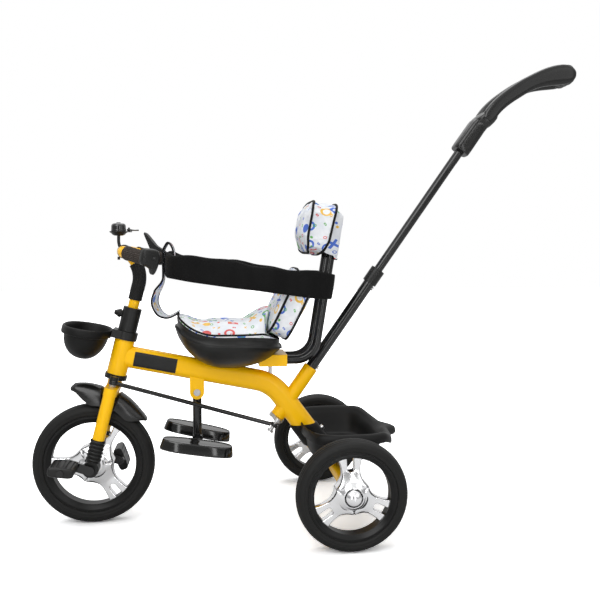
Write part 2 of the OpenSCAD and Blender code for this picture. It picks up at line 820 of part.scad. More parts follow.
// Rear basket: a tub over the axle, with a saddle that the main tube passes through
function rb_ring(k, z, grow) = [
  for (i = [0:43])
    let (t = i * 360 / 44, p = outline(rb_a * k + grow, rb_w / 2 * k + grow, 3.6, t))
    [rb_mid + p[0], p[1], z - (cos(t) > 0.6 ? (cos(t) - 0.6) * 26 : 0) * (z - rb_low) / (rb_top - rb_low)]
];
module rb_outer() {
  skin([
    rb_ring(0.78, rb_low, 0),
    rb_ring(0.86, rb_low + 8, 0),
    rb_ring(0.94, rb_low + (rb_top - rb_low) * 0.6, 0),
    rb_ring(0.96, rb_top - 8, 0),
    rb_ring(1.0, rb_top - 5, 0),
    rb_ring(1.0, rb_top, 0)
  ]);
}
module rb_inner() {
  skin([
    rb_ring(0.78, rb_low + wall, -wall),
    rb_ring(0.86, rb_low + 8 + wall, -wall),
    rb_ring(0.94, rb_low + (rb_top - rb_low) * 0.6, -wall),
    rb_ring(0.96, rb_top - 8, -wall),
    rb_ring(0.965, rb_top + 20, -wall)
  ]);
}

module rear_basket() {
  color(black) base() difference() {
    union() {
      difference() {
        rb_outer();
        rb_inner();
      }
      intersection() {
        rear_run(seat_gap + wall, false, leg_end + 60);
        rb_outer();
      }
      translate([rb_mid + rb_a - 6, -28, rb_top - 22]) cube([28, 56, wall]);
    }
    rear_run(seat_gap, false, leg_end + 80);
    translate([0, 0, rear_r]) across()
      cylinder(d = axle_tube_d + 2 * seat_gap, h = rear_track, center = true);
    basket_bolt_places(0) cylinder(d = 5 + 2 * fit, h = 40, center = true);
    base_lever_room();
  }
}

// Room for the swing of the lever under the handle socket
module base_lever_room() {
  translate([pole_p[0], 0, pole_p[1]]) rotate([0, pole_tilt, 0])
    translate([0, 0, nut_z - 6]) cylinder(d = 2 * arm_r + eye_d + 12, h = -socket_low - nut_z + 6);
}

// The two bolts that hold the saddle to the main tube
module basket_bolt_places(out) {
  for (k = [0.58, 0.82])
    translate([bend_out[0], 0, bend_out[1]]) rotate([0, 90 + rear_fall, 0])
      translate([-tube_h / 2 - out, 0, leg_end * k + 8]) rotate([0, 90, 0]) children();
}

module basket_bolts() {
  color(chrome) base() difference() {
    basket_bolt_places(seat_gap + wall) union() {
      translate([0, 0, -5 - fit]) cylinder(d = 12, h = 5);
      translate([0, 0, -fit - 1]) cylinder(d = 5, h = seat_gap + wall + fit + 0.9);
    }
    rear_run(0.05, false, leg_end + 80);
  }
}

module footrest_pin() {
  w = 2 * (cheek_in + cheek_t);
  color(chrome) base() translate([foot_x, 0, foot_z]) across() union() {
    cylinder(d = pin_d, h = w + 4, center = true);
    translate([0, 0, w / 2 + fit]) cylinder(d = 14, h = 4);
    translate([0, 0, -w / 2 - fit - 4]) cylinder(d = 14, h = 4);
  }
}

module footrest_post() {
  color(black) base() translate([foot_x, 0, foot_z]) difference() {
    union() {
      translate([0, 0, -foot_l]) cylinder(d = foot_d, h = foot_l);
      across() cylinder(d = foot_d, h = foot_d, center = true);
      translate([0, 0, -foot_l]) across()
        cylinder(d = foot_bar_d, h = 2 * (foot_pad_y + foot_pad_w - 8), center = true);
      translate([0, 0, -foot_l]) across() cylinder(d = foot_bar_d + 8, h = 30, center = true);
    }
    across() cylinder(d = pin_d + 2 * fit, h = foot_d + 10, center = true);
  }
}

module foot_pad(side) {
  color(black) base()
    translate([foot_x, side * (foot_pad_y + foot_pad_w / 2), foot_z - foot_l])
      difference() {
        translate([0, 0, -foot_pad_h / 2]) union() {
          linear_extrude(foot_pad_h * 0.55) oval(foot_pad_l - 12, foot_pad_w - 12);
          translate([0, 0, foot_pad_h * 0.55]) linear_extrude(foot_pad_h * 0.45)
            oval(foot_pad_l, foot_pad_w);
        }
        across() cylinder(d = foot_bar_d + 2 * fit, h = foot_pad_w * 2 - 20, center = true);
        for (i = [-3:3])
          translate([i * 16 - 2, -foot_pad_w * 0.3, foot_pad_h / 2 - 1.4])
            cube([4, foot_pad_w * 0.6, 2]);
      }
}

module foot_pad_left() {
  foot_pad(-1);
}

module foot_pad_right() {
  foot_pad(1);
}

module fork() {
  color(yellow) steer() difference() {
    union() {
      translate([0, 0, crown_s]) linear_extrude(crown_h) rotate(90) oval(2 * leg_y + leg_d + 2, leg_d + 2);
      for (s = [-1, 1]) translate([0, s * leg_y, 0]) {
        translate([0, 0, boot_l]) cylinder(d = leg_d, h = crown_s - boot_l + 2);
        cylinder(d = leg_in_d, h = boot_l + 0.5);
        across() cylinder(d = leg_in_d + 4, h = leg_in_d + 3, center = true);
      }
      translate([0, 0, crown_s + 2]) cylinder(d = steerer_d, h = steerer_top - crown_s - 2);
    }
    translate([0, 0, stem_low - bar_drop - 2]) cylinder(d = stem_d + 2 * fit, h = steerer_top);
    for (s = [-1, 1]) translate([0, s * leg_y, 0]) across()
      cylinder(d = axle_d + 2 * fit, h = leg_d + 10, center = true);
  }
}

// Ribbed boot over the lower end of a fork leg
module boot(side) {
  n = 6;
  pitch = (boot_l - 15) / n;
  color(black) steer() translate([0, side * leg_y, 0]) difference() {
    union() {
      rotate_extrude() union() {
        translate([0, 4]) square([boot_d / 2 - 4, boot_l - 4 - seat_gap]);
        for (i = [0:n - 1]) translate([boot_d / 2 - 4, 15 + pitch * (i + 0.5)]) circle(r = pitch * 0.4);
      }
      across() cylinder(d = boot_d, h = boot_d - 3, center = true);
    }
    translate([0, 0, -1]) cylinder(d = leg_in_d + 2 * fit, h = boot_l + 2);
    across() cylinder(d = leg_in_d + 4 + 2 * fit, h = leg_in_d + 3 + 2 * fit, center = true);
    across() cylinder(d = axle_d + 2, h = boot_d + 4, center = true);
  }
}

module fork_boot_left() {
  boot(-1);
}

module fork_boot_right() {
  boot(1);
}

// Arched mudguard: its centre lies below and ahead of the axle, so that its front flares
guard_c = [-27, crown_s * cos(head_tilt) - seat_gap
  - sqrt(pow(guard_r, 2) - pow(27 + crown_s * sin(head_tilt), 2))];
module guard_section() {
  difference() {
    union() {
      translate([guard_r - 34, -guard_half]) square([22, 2 * guard_half]);
      intersection() {
        translate([guard_r - guard_half * 1.6, 0]) circle(r = guard_half * 1.6);
        translate([guard_r - 14, -guard_half]) square([20, 2 * guard_half]);
      }
    }
    translate([guard_r - 36, -guard_half + guard_t]) square([25, 2 * guard_half - 2 * guard_t]);
    intersection() {
      translate([guard_r - guard_half * 1.6, 0]) circle(r = guard_half * 1.6 - guard_t);
      translate([guard_r - 14, -guard_half + guard_t]) square([20, 2 * guard_half - 2 * guard_t]);
    }
  }
}

module mudguard() {
  color(black) base() translate([-wheelbase, 0, front_r]) difference() {
    translate([guard_c[0], 0, guard_c[1]]) rotate([90, 0, 0]) rotate([0, 0, 44])
      rotate_extrude(angle = 52) guard_section();
    rotate([0, head_tilt, 0]) translate([0, 0, crown_s - seat_gap]) linear_extrude(crown_h)
      square([leg_d + 12, 2 * leg_y], center = true);
  }
}

module steering_ring() {
  color(black) steer() difference() {
    union() {
      translate([0, 0, ring_s]) cylinder(d = ring_d, h = ring_h);
      translate([0, 0, ring_s]) rotate([0, 0, -90]) linear_extrude(lever_t) link_plan(arm_r, eye_d);
    }
    translate([0, 0, ring_s - 1]) cylinder(d = steerer_d + 2 * fit, h = ring_h + 2);
    translate([0, -arm_r, ring_s - 1]) cylinder(d = pin_d + 2 * fit, h = ring_h + 2);
  }
}

// Pin that carries the front eye of the steering rod
module rod_pin() {
  color(chrome) steer() translate([0, -arm_r, 0]) union() {
    translate([0, 0, eye_s + 3]) cylinder(d = pin_d, h = ring_s + lever_t - eye_s - 3);
    translate([0, 0, eye_s + 0.6]) cylinder(d = pin_d + 5, h = 3.4, $fn = 6);
  }
}

module basket_ring() {
  color(black) steer() difference() {
    union() {
      translate([0, 0, bring_s]) cylinder(d = bring_d, h = bring_h);
      translate([-bring_d / 2 - 4, -22, bring_s]) cube([bring_d / 2, 44, bring_h]);
    }
    translate([0, 0, bring_s - 1]) cylinder(d = steerer_d + 2 * fit, h = bring_h + 2);
  }
}

// Front basket: an oval bowl with a broad rolled rim
fb_x = -bring_d / 2 - 4 - seat_gap - fb_l / 2;
fb_z = bring_s + bring_h - 2;
function fb_ring(k, z, grow) = [
  for (i = [0:39])
    let (t = i * 9, p = outline(fb_l / 2 * k + grow, fb_w / 2 * k + grow, 2.3, t))
    [fb_x + p[0] + (1 - k) * 8, p[1], fb_z + z]
];
module front_basket() {
  color(black) steer() difference() {
    skin([
      fb_ring(0.30, -fb_h, 0), fb_ring(0.52, -fb_h * 0.95, 0), fb_ring(0.70, -fb_h * 0.82, 0),
      fb_ring(0.83, -fb_h * 0.60, 0), fb_ring(0.90, -fb_h * 0.34, 0), fb_ring(0.92, -10, 0),
      fb_ring(0.98, -9, 0), fb_ring(1.0, -5, 0), fb_ring(1.0, -2, 0), fb_ring(0.97, 0, 0)
    ]);
    skin([
      fb_ring(0.30, -fb_h + wall, -wall), fb_ring(0.52, -fb_h * 0.95 + wall, -wall),
      fb_ring(0.70, -fb_h * 0.82 + wall, -wall), fb_ring(0.83, -fb_h * 0.60, -wall),
      fb_ring(0.90, -fb_h * 0.34, -wall), fb_ring(0.92, -10, -wall), fb_ring(0.93, 12, -wall)
    ]);
    translate([-bring_d / 2 - 4 - seat_gap, -fb_w, fb_z - bring_h]) cube([bring_d, 2 * fb_w, 2 * bring_h]);
    translate([0, 0, head_s]) cylinder(d = head_d + 2, h = head_l + seat_gap);
  }
}

knob_s = collar_s + collar_h * 0.66;
module stem_collar() {
  color(black) steer() difference() {
    union() {
      translate([0, 0, collar_s]) cylinder(d = collar_d, h = collar_h);
      translate([-collar_d / 2 - 2, 0, knob_s]) rotate([0, 90, 0]) cylinder(d = 14, h = collar_d / 2);
    }
    translate([0, 0, collar_s - 1]) cylinder(d = steerer_d + 2 * fit, h = steerer_top - collar_s + 1 + seat_gap);
    translate([0, 0, collar_s]) cylinder(d = stem_d + 2 * fit, h = collar_h + 2);
    translate([-collar_d, 0, knob_s]) rotate([0, 90, 0]) cylinder(d = 6 + 2 * fit, h = collar_d);
  }
}

module clamp_knob() {
  tip = stem_d / 2 + 0.5;
  face = collar_d / 2 + 2 + seat_gap;
  color(black) steer() translate([0, 0, knob_s]) rotate([0, -90, 0]) union() {
    translate([0, 0, tip]) cylinder(d = 6, h = face - tip + 1);
    translate([0, 0, face]) cylinder(d1 = 20, d2 = 8, h = 13);
  }
}

// Handlebar frame with its zero in the middle of the cross tube
module bar() {
  steer() translate([bar_x, 0, bar_s]) children();
}

// Straight end of the handlebar on one side, along local Z
module bar_end(side) {
  bar() mirror([0, side < 0 ? 1 : 0, 0])
    translate([bar_r * (1 - cos(sweep)), bar_half + bar_r * sin(sweep), 0])
      rotate([0, 0, -sweep]) rotate([-90, 0, 0]) children();
}
grip_t = 5;
end_l = grip_t + grip_l + 10;

module stem_bend(d_out, d_in, turn) {
  translate([0, 0, bend_s]) translate([-stem_r, 0, 0]) rotate([90, 0, 0])
    rotate_extrude(angle = turn) translate([stem_r, 0]) difference() {
      circle(d = d_out);
      if (d_in > 0) circle(d = d_in);
    }
}

module handlebar() {
  color(yellow) {
    steer() union() {
      translate([0, 0, stem_low]) cylinder(d = stem_d, h = bend_s - stem_low + lap);
      stem_bend(stem_d + 2 * swage, 0, stem_turn);
      translate([bar_x, 0, bar_s]) rotate([0, 180 - stem_turn, 0]) cylinder(d = stem_d, h = stem_end + lap);
      translate([bar_x, 0, bar_s]) across() cylinder(d = stem_d, h = 2 * (bar_half + lap), center = true);
      for (m = [0, 1]) translate([bar_x, 0, bar_s]) mirror([0, m, 0]) {
        translate([bar_r, bar_half, 0]) rotate([0, 0, 180 - sweep])
          rotate_extrude(angle = sweep) translate([bar_r, 0]) circle(d = stem_d + 2 * swage);
        translate([bar_r * (1 - cos(sweep)), bar_half + bar_r * sin(sweep), 0])
          rotate([0, 0, -sweep]) rotate([-90, 0, 0]) translate([0, 0, -lap])
            cylinder(d = stem_d, h = end_l + lap);
      }
    }
  }
}

module stem_sleeve() {
  color(black) steer() union() {
    translate([0, 0, collar_top + bar_drop + 2]) difference() {
      cylinder(d = sleeve_d, h = stem_up - bar_drop - 2);
      translate([0, 0, -1]) cylinder(d = stem_d + 2 * fit, h = stem_up);
    }
    stem_bend(sleeve_d, stem_d + 2 * swage + 2 * fit, stem_turn - 6);
  }
}

module grip(side) {
  n = 8;
  pitch = (grip_l - 8) / n;
  color(rubber) bar_end(side) translate([0, 0, grip_t]) rotate_extrude() difference() {
    union() {
      translate([stem_d / 2 + fit, 0]) square([grip_d / 2 - 2 - stem_d / 2 - fit, grip_l]);
      translate([stem_d / 2 + fit, 0]) square([grip_d / 2 - stem_d / 2 - fit, 4]);
      for (i = [0:n - 1]) translate([stem_d / 2 + fit, 6 + i * pitch])
        square([grip_d / 2 - stem_d / 2 - fit, pitch * 0.55]);
    }
  }
}

module grip_left() {
  grip(-1);
}

module grip_right() {
  grip(1);
}

// Shield at the outer end of a grip; local X points down and local Y to the front
module hand_guard(side) {
  color(black) bar_end(side) translate([0, 0, grip_t + grip_l + seat_gap]) difference() {
    linear_extrude(14) difference() {
      rotate(side > 0 ? 180 : 0) {
        hull() {
          circle(d = grip_d + 3, $fn = 32);
          translate([4, -10]) circle(d = 24, $fn = 32);
          translate([27, -14]) circle(d = 12, $fn = 32);
          translate([-6, -6]) circle(d = 14, $fn = 32);
        }
      }
      rotate(side > 0 ? 180 : 0) translate([13, -13]) circle(d = 4.5);
    }
    translate([0, 0, -1]) cylinder(d = stem_d + 2 * fit, h = end_l - grip_t - grip_l - seat_gap + 1 + seat_gap);
  }
}

module hand_guard_left() {
  hand_guard(-1);
}

module hand_guard_right() {
  hand_guard(1);
}

// Bell frame: upright, over the cross tube
module bell() {
  bar() translate([0, -bell_y, 0]) rotate([0, -head_tilt, 0]) children();
}
bell_z = stem_d / 2 + 27.5;
bell_fwd = 10.5;
bell_h = 15.5;
lever_x = bell_d / 2 + 5;

module bell_base() {
  color(black) bell() difference() {
    union() {
      across() cylinder(d = stem_d + 7, h = 13, center = true);
      translate([-bell_fwd, 0, 0]) {
        translate([0, 0, 4]) cylinder(d = 12, h = bell_z - 3);
        translate([0, 0, bell_z]) cylinder(d = bell_d + 6, h = 2);
        translate([0, 0, bell_z - 6]) cylinder(d = bell_d - 4, h = 7);
        translate([0, 0, bell_z]) linear_extrude(2) link_plan(lever_x, 12);
        translate([lever_x, 0, bell_z]) cylinder(d = 4, h = 7);
      }
    }
    across() cylinder(d = stem_d + 2 * fit, h = 20, center = true);
  }
}

module bell_dome() {
  r = bell_d / 2;
  c = 6;
  color(black) bell() translate([-bell_fwd, 0, bell_z + 2 + seat_gap]) rotate_extrude() difference() {
    union() {
      square([r, bell_h - c]);
      square([r - c, bell_h]);
      translate([r - c, bell_h - c]) intersection() {
        circle(r = c);
        square(c);
      }
    }
    translate([0, -1]) square([r - 1.6, bell_h - c + 1]);
    translate([0, -1]) square([r - c, bell_h - 1.6 + 1]);
  }
}

module bell_lever() {
  color(black) bell() translate([lever_x - bell_fwd, 0, bell_z + 2 + seat_gap]) difference() {
    union() {
      cylinder(d = 8, h = 4);
      rotate([0, 0, -20]) linear_extrude(3) link_plan(18, 6);
    }
    translate([0, 0, -1]) cylinder(d = 4 + 2 * fit, h = 6);
  }
}

module tyre(d, w, seat) {
  across() rotate_extrude() intersection() {
    translate([seat / 2, -w / 2]) square([(d - seat) / 2, w]);
    translate([d / 2 - tread_r, 0]) circle(r = tread_r);
  }
}

// Rim with sides that slope in towards the opening
module rim(seat, open) {
  s = seat / 2 - fit;
  o = open / 2;
  across() rotate_extrude() polygon([
    [o, -spoke_t / 2 - 1], [o + 3, -spoke_t / 2 - 3], [s - 4, -rim_w / 2], [s, -rim_w / 2],
    [s, rim_w / 2], [s - 4, rim_w / 2], [o + 3, spoke_t / 2 + 3], [o, spoke_t / 2 + 1]
  ]);
}

// Three forked spokes with their hub
module spokes(open, hub_len, first) {
  r = open / 2 - fit;
  across() difference() {
    union() {
      linear_extrude(spoke_t, center = true) intersection() {
        circle(r = r);
        union() {
          circle(d = hub_d + 8);
          for (i = [0:2]) rotate(first + 120 * i) difference() {
            polygon([
              [0, -hub_d / 2], [r * 0.3, -hub_d / 2], [r * 0.58, -spoke_mid_w / 2], [r + 4, -spoke_w / 2],
              [r + 4, spoke_w / 2], [r * 0.58, spoke_mid_w / 2], [r * 0.3, hub_d / 2], [0, hub_d / 2]
            ]);
            translate([r - slot_l, -slot_w / 2]) square([slot_l + 6, slot_w]);
            translate([r - slot_l, 0]) circle(d = slot_w);
          }
        }
      }
      cylinder(d = hub_d, h = hub_len, center = true);
    }
    cylinder(d = axle_d + 2 * fit, h = hub_len + 2, center = true);
  }
}

module front_at() {
  base() translate([-wheelbase, 0, front_r]) children();
}

module rear_at(side) {
  base() translate([0, side * rear_track / 2, rear_r]) children();
}

module front_tyre() {
  color(black) front_at() tyre(front_d, front_w, front_seat_d);
}

module front_rim() {
  color(black) front_at() rim(front_seat_d, front_open_d);
}

module front_spokes() {
  color(chrome) front_at() spokes(front_open_d, front_hub, 66);
}

// Axle with both cranks and both pedal spindles in one piece
module crank_axle() {
  color(chrome) front_at() across() union() {
    cylinder(d = axle_d, h = 2 * crank_y + crank_t, center = true);
    for (s = [-1, 1])
      rotate([0, 0, s > 0 ? crank_angle : crank_angle + 180])
        translate([0, 0, s > 0 ? crank_y : -crank_y - crank_t]) {
          linear_extrude(crank_t) link_plan(crank_l, crank_w);
          translate([crank_l, 0, s > 0 ? 0 : -stub_l]) cylinder(d = spindle_d, h = stub_l + crank_t);
          translate([crank_l, 0, s > 0 ? crank_t + stub_l + seat_gap : -stub_l - seat_gap - 3])
            cylinder(d = spindle_d + 5, h = 3);
          translate([crank_l, 0, s > 0 ? crank_t + stub_l - 1 : -stub_l - 1])
            cylinder(d = spindle_d, h = 2);
        }
  }
}

module pedal(side) {
  a = side < 0 ? crank_angle : crank_angle + 180;
  tilt = side < 0 ? pedal_tilt_l : pedal_tilt_r;
  color(black) front_at()
    translate([crank_l * cos(a), side * (pedal_y + pedal_l / 2), crank_l * sin(a)])
      rotate([0, tilt, 0]) difference() {
        cube([pedal_b, pedal_l, pedal_h], center = true);
        across() cylinder(d = spindle_d + 2 * fit, h = pedal_l + 2, center = true);
        for (u = [-1, 1]) for (i = [-2:2])
          translate([i * pedal_b / 6 - pedal_b / 24, -pedal_l * 0.42, u > 0 ? pedal_h / 2 - 2 : -pedal_h / 2 - 1])
            cube([pedal_b / 12, pedal_l * 0.84, 3]);
      }
}

module pedal_left() {
  pedal(-1);
}

module pedal_right() {
  pedal(1);
}

module rear_tyre_left() {
  color(black) rear_at(-1) tyre(rear_d, rear_w, rear_seat_d);
}

module rear_rim_left() {
  color(black) rear_at(-1) rim(rear_seat_d, rear_open_d);
}

module rear_spokes_left() {
  color(chrome) rear_at(-1) spokes(rear_open_d, hub_w, 93.5);
}

// Domed cap over the end of the rear axle
module cap(side) {
  color(chrome) rear_at(side) translate([0, side * (hub_w / 2 + fit), 0])
    rotate([side > 0 ? -90 : 90, 0, 0]) difference() {
      intersection() {
        translate([0, 0, cap_h - (cap_d * cap_d / 4 + cap_h * cap_h) / (2 * cap_h)])
          sphere(r = (cap_d * cap_d / 4 + cap_h * cap_h) / (2 * cap_h));
        cylinder(d = cap_d + 2, h = cap_h + 1);
      }
      translate([0, 0, -1]) cylinder(d = axle_d + 2 * fit, h = 5);
    }
}

module rear_cap_left() {
  cap(-1);
}

module rear_tyre_right() {
  color(black) rear_at(1) tyre(rear_d, rear_w, rear_seat_d);
}

module rear_rim_right() {
  color(black) rear_at(1) rim(rear_seat_d, rear_open_d);
}

module rear_spokes_right() {
  color(chrome) rear_at(1) spokes(rear_open_d, hub_w, 93.5);
}

module rear_cap_right() {
  cap(1);
}

// Both ends of the steering rod, from the rear axle
rod_a_s = (eye_s + 4 + ring_s) / 2;
rod_a = [-wheelbase + rod_a_s * sin(head_tilt), front_r + rod_a_s * cos(head_tilt)];
rod_b = [pole_p[0] + rod_z * sin(pole_tilt), pole_p[1] + rod_z * cos(pole_tilt)];
rod_v = rod_b - rod_a;

module steering_rod() {
  color(black) base() translate([0, -arm_r, 0]) difference() {
    union() {
      translate([rod_a[0], 0, rod_a[1]]) rotate([0, atan2(rod_v[0], rod_v[1]), 0])
        translate([0, 0, eye_d / 2 - 1]) cylinder(d = rod_d, h = norm(rod_v) - eye_d + 2);
      translate([rod_a[0], 0, rod_a[1]]) rotate([0, head_tilt, 0])
        cylinder(d = eye_d, h = eye_h, center = true);
      translate([rod_b[0], 0, rod_b[1]]) rotate([0, pole_tilt, 0])
        cylinder(d = eye_d, h = eye_h, center = true);
    }
    translate([rod_a[0], 0, rod_a[1]]) rotate([0, head_tilt, 0])
      cylinder(d = pin_d + 2 * fit, h = 3 * eye_h, center = true);
    translate([rod_b[0], 0, rod_b[1]]) rotate([0, pole_tilt, 0])
      cylinder(d = pin_d + 2.6, h = 3 * eye_h, center = true);
  }
}

module lower_tube() {
  color(black) pole() difference() {
    translate([0, 0, pole_low]) cylinder(d = pole_d, h = pole_l - pole_low);
    translate([0, 0, pole_low - 1]) cylinder(d = pole_in_d, h = pole_l - pole_low + 2);
    for (z = [button_z1, button_z2]) translate([0, 0, z]) rotate([0, 90, 0])
      cylinder(d = button_d + 2 * fit, h = pole_d);
  }
}

// Lever at the foot of the lower tube, with the pin for the rod's rear eye
module steering_lever() {
  color(black) pole() difference() {
    union() {
      translate([0, 0, lever_z]) cylinder(d = pole_d + 10, h = lever_t);
      translate([0, 0, lever_z]) rotate([0, 0, -90]) linear_extrude(lever_t) link_plan(arm_r, eye_d);
      translate([0, -arm_r, nut_z]) cylinder(d = pin_d, h = lever_z - nut_z + 1);
      translate([0, -arm_r, nut_z - 4.5]) cylinder(d = pin_d + 6, h = 4.5);
    }
    translate([0, 0, lever_z - 1]) cylinder(d = pole_d + 2 * fit, h = lever_t + 2);
  }
}

module handle_collar() {
  color(black) pole() difference() {
    translate([0, 0, pole_l - pcollar_l * 0.55]) cylinder(d = pcollar_d, h = pcollar_l);
    translate([0, 0, pole_l - pcollar_l]) cylinder(d = pole_d + 2 * fit, h = pcollar_l + seat_gap);
    translate([0, 0, pole_l - 1]) cylinder(d = upper_d + 2 * fit, h = pcollar_l);
  }
}

module spring_button(z) {
  color(chrome) pole() translate([0, 0, z]) rotate([0, 90, 0])
    translate([0, 0, pole_in_d / 2 - 0.2]) cylinder(d = button_d, h = pole_d / 2 - pole_in_d / 2 + 0.2 + button_out);
}

module lower_button() {
  spring_button(button_z1);
}

module upper_button() {
  spring_button(button_z2);
}

// Upper tube, with a groove for the button and two grooves for show
module upper_tube() {
  color(black) pole() difference() {
    translate([0, 0, upper_low]) cylinder(d = upper_d, h = upper_top - upper_low);
    translate([0, 0, upper_low - 1]) cylinder(d = upper_d - 8, h = upper_top - upper_low + 2);
    translate([upper_d / 2 - groove_d, -button_d / 2 - 0.4, upper_low - 1])
      cube([groove_d + 1, button_d + 0.8, upper_l + upper_in - clamp_l / 2]);
    for (s = [-1, 1]) translate([-2, s * upper_d / 2 - 1, pole_l + pcollar_l])
      cube([4, 2, upper_l - pcollar_l - 60]);
  }
}

// Grip: clamp on the tube, two bent arms and the cross grip between them
module handle_grip() {
  color(black) pole() difference() {
    union() {
      translate([0, 0, clamp_z]) linear_extrude(clamp_l) oval(clamp_w - 4, clamp_b);
      translate([loop_x - arm_t / 2, -arm_y - arm_w / 2, clamp_top - loop_base / 3])
        cube([arm_t, 2 * arm_y + arm_w, loop_base]);
      for (s = [-1, 1]) translate([0, s * arm_y, 0]) {
        translate([loop_x, 0, clamp_top]) linear_extrude(loop_z - clamp_top + lap) oval(arm_t, arm_w);
        translate([loop_x + loop_r, 0, loop_z]) rotate([90, 0, 0]) rotate([0, 0, 180 - loop_turn])
          rotate_extrude(angle = loop_turn) translate([loop_r, 0])
            oval(arm_t + 2 * swage, arm_w + 2 * swage);
        translate([loop_arc_x, 0, loop_arc_z]) rotate([0, loop_turn, 0])
          translate([0, 0, -lap]) linear_extrude(loop_tail + lap) oval(arm_t, arm_w);
      }
      translate([loop_end_x, 0, loop_end_z]) across()
        cylinder(d = arm_t + 1, h = 2 * arm_y + arm_w + 4 * swage, center = true);
    }
    translate([0, 0, clamp_z - 1]) cylinder(d = upper_d + 2 * fit, h = upper_top - clamp_z + 1 + seat_gap);
  }
}

main_frame();
label_plate();
rear_axle();
seat_bracket();
seat_bolt();
backrest_post_left();
backrest_post_right();
seat_tub();
seat_cushion();
back_pad();
headrest_pad();
guard_ring();
crotch_strap();
rear_basket();
basket_bolts();
footrest_pin();
footrest_post();
foot_pad_left();
foot_pad_right();
fork();
fork_boot_left();
fork_boot_right();
mudguard();
steering_ring();
rod_pin();
basket_ring();
front_basket();
stem_collar();
clamp_knob();
handlebar();
stem_sleeve();
grip_left();
grip_right();
hand_guard_left();
hand_guard_right();
bell_base();
bell_dome();
bell_lever();
front_tyre();
front_rim();
front_spokes();
crank_axle();
pedal_left();
pedal_right();
rear_tyre_left();
rear_rim_left();
rear_spokes_left();
rear_cap_left();
rear_tyre_right();
rear_rim_right();
rear_spokes_right();
rear_cap_right();
steering_rod();
lower_tube();
steering_lever();
handle_collar();
lower_button();
upper_button();
upper_tube();
handle_grip();
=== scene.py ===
import json
import math
from collections import namedtuple

import bpy
import numpy as np
from bpy.props import FloatProperty, FloatVectorProperty, PointerProperty
from mathutils import Matrix, Vector


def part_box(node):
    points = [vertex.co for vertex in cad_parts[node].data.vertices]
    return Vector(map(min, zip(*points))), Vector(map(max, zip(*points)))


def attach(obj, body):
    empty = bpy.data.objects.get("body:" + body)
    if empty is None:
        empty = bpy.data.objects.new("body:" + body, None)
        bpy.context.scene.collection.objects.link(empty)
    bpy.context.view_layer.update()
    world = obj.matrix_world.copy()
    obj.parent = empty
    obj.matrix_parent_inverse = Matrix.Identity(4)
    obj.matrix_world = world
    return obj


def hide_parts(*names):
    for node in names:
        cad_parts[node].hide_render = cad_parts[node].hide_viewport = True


bl_info = {
    "name": "Push along trike",
    "version": (1, 0, 0),
    "blender": (4, 5, 0),
    "location": "View3D > Sidebar > Trike",
    "description": "Dresses the packed trike with cloth, paint, plastic and rubber",
    "category": "Object",
}

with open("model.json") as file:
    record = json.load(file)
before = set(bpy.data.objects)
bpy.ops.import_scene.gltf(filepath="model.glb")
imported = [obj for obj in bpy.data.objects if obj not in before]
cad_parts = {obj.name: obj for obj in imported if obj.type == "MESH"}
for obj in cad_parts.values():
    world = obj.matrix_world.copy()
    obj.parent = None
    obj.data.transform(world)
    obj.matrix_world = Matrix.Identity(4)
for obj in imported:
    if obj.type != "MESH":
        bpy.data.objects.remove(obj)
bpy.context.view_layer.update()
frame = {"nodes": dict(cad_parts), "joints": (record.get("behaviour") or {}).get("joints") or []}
MM = 0.001
SIDEWAYS = np.array([0, 1.0, 0])
JOINTS = {joint["name"]: joint for joint in frame["joints"]}


def joint_place(name):
    """Where a joint of the frame sits, in millimetres."""
    return np.array(JOINTS[name]["pos_m"]) / MM


def joint_frame(name):
    """A joint's place and the directions of its own X and Z, with Z along its axis."""
    z = np.array(JOINTS[name]["axis"])
    return joint_place(name), np.array([z[2], 0, -z[0]]), z


HUB = joint_place("front_spin")
HEAD = joint_frame("steer")
POLE = joint_frame("push_turn")

# Places and sizes of the seat's solids, in millimetres
SEAT_X, TUB_Z, SIT_Z = -173.76, 319.887, 425.887
TUB_L, TUB_W, TUB_POWER = 224.0, 226.0, 2.6
TUB_FRONT, TUB_SIDE, TUB_REAR, TUB_FLOOR = 109.0, 74.0, 62.0, 34.0
PAD_FOOT, PAD_TILT = (-74.76, 395.887), math.radians(26)
POST_FOOT, POST_TILT, POST_R = (10.38, 376.69), math.radians(9), 9.0
REST_Z = 553.49
RING_FRONT, RING_REAR, RING_Z, RING_RISE, RING_RUN = -303.685, 40.245, 489.887, 46.0, 332.0


# Shapes


def spow(v, p):
    """Power that keeps the sign of v."""
    return np.sign(v) * np.abs(v) ** p


def outline(a, b, n, t):
    """Superellipse with half axes a and b and exponent n at the angles t."""
    return a * spow(np.cos(t), 2 / n), b * spow(np.sin(t), 2 / n)


def smooth(lo, hi, v):
    """Cubic step from 0 at lo to 1 at hi."""
    s = np.clip((v - lo) / (hi - lo), 0, 1)
    return s * s * (3 - 2 * s)


def spline(through, n):
    """Uniform Catmull-Rom curve of n points through the given points."""
    p = np.asarray(through, float)
    p = np.vstack([2 * p[0] - p[1], p, 2 * p[-1] - p[-2]])
    s = np.linspace(0, len(p) - 3 - 1e-9, n)
    i = s.astype(int)
    f = (s - i)[:, None]
    a, b, c, d = p[i], p[i + 1], p[i + 2], p[i + 3]
    return 0.5 * (2 * b + (c - a) * f + (2 * a - 5 * b + 4 * c - d) * f**2 + (3 * b - a - 3 * c + d) * f**3)


def circle(n):
    """Angles of n points spread evenly round a circle."""
    return np.linspace(0, 2 * np.pi, n, endpoint=False)


def points(*coordinates):
    """Points from their coordinates, spread to one shape."""
    return np.stack(np.broadcast_arrays(*coordinates), -1)


def run_along(path):
    """Length along a path up to each of its points."""
    return np.concatenate([[0], np.cumsum(np.linalg.norm(np.diff(path, axis=0), axis=1))])


def unit(v):
    """Rows of v at a length of one."""
    return v / (np.linalg.norm(v, axis=1)[:, None] + 1e-12)


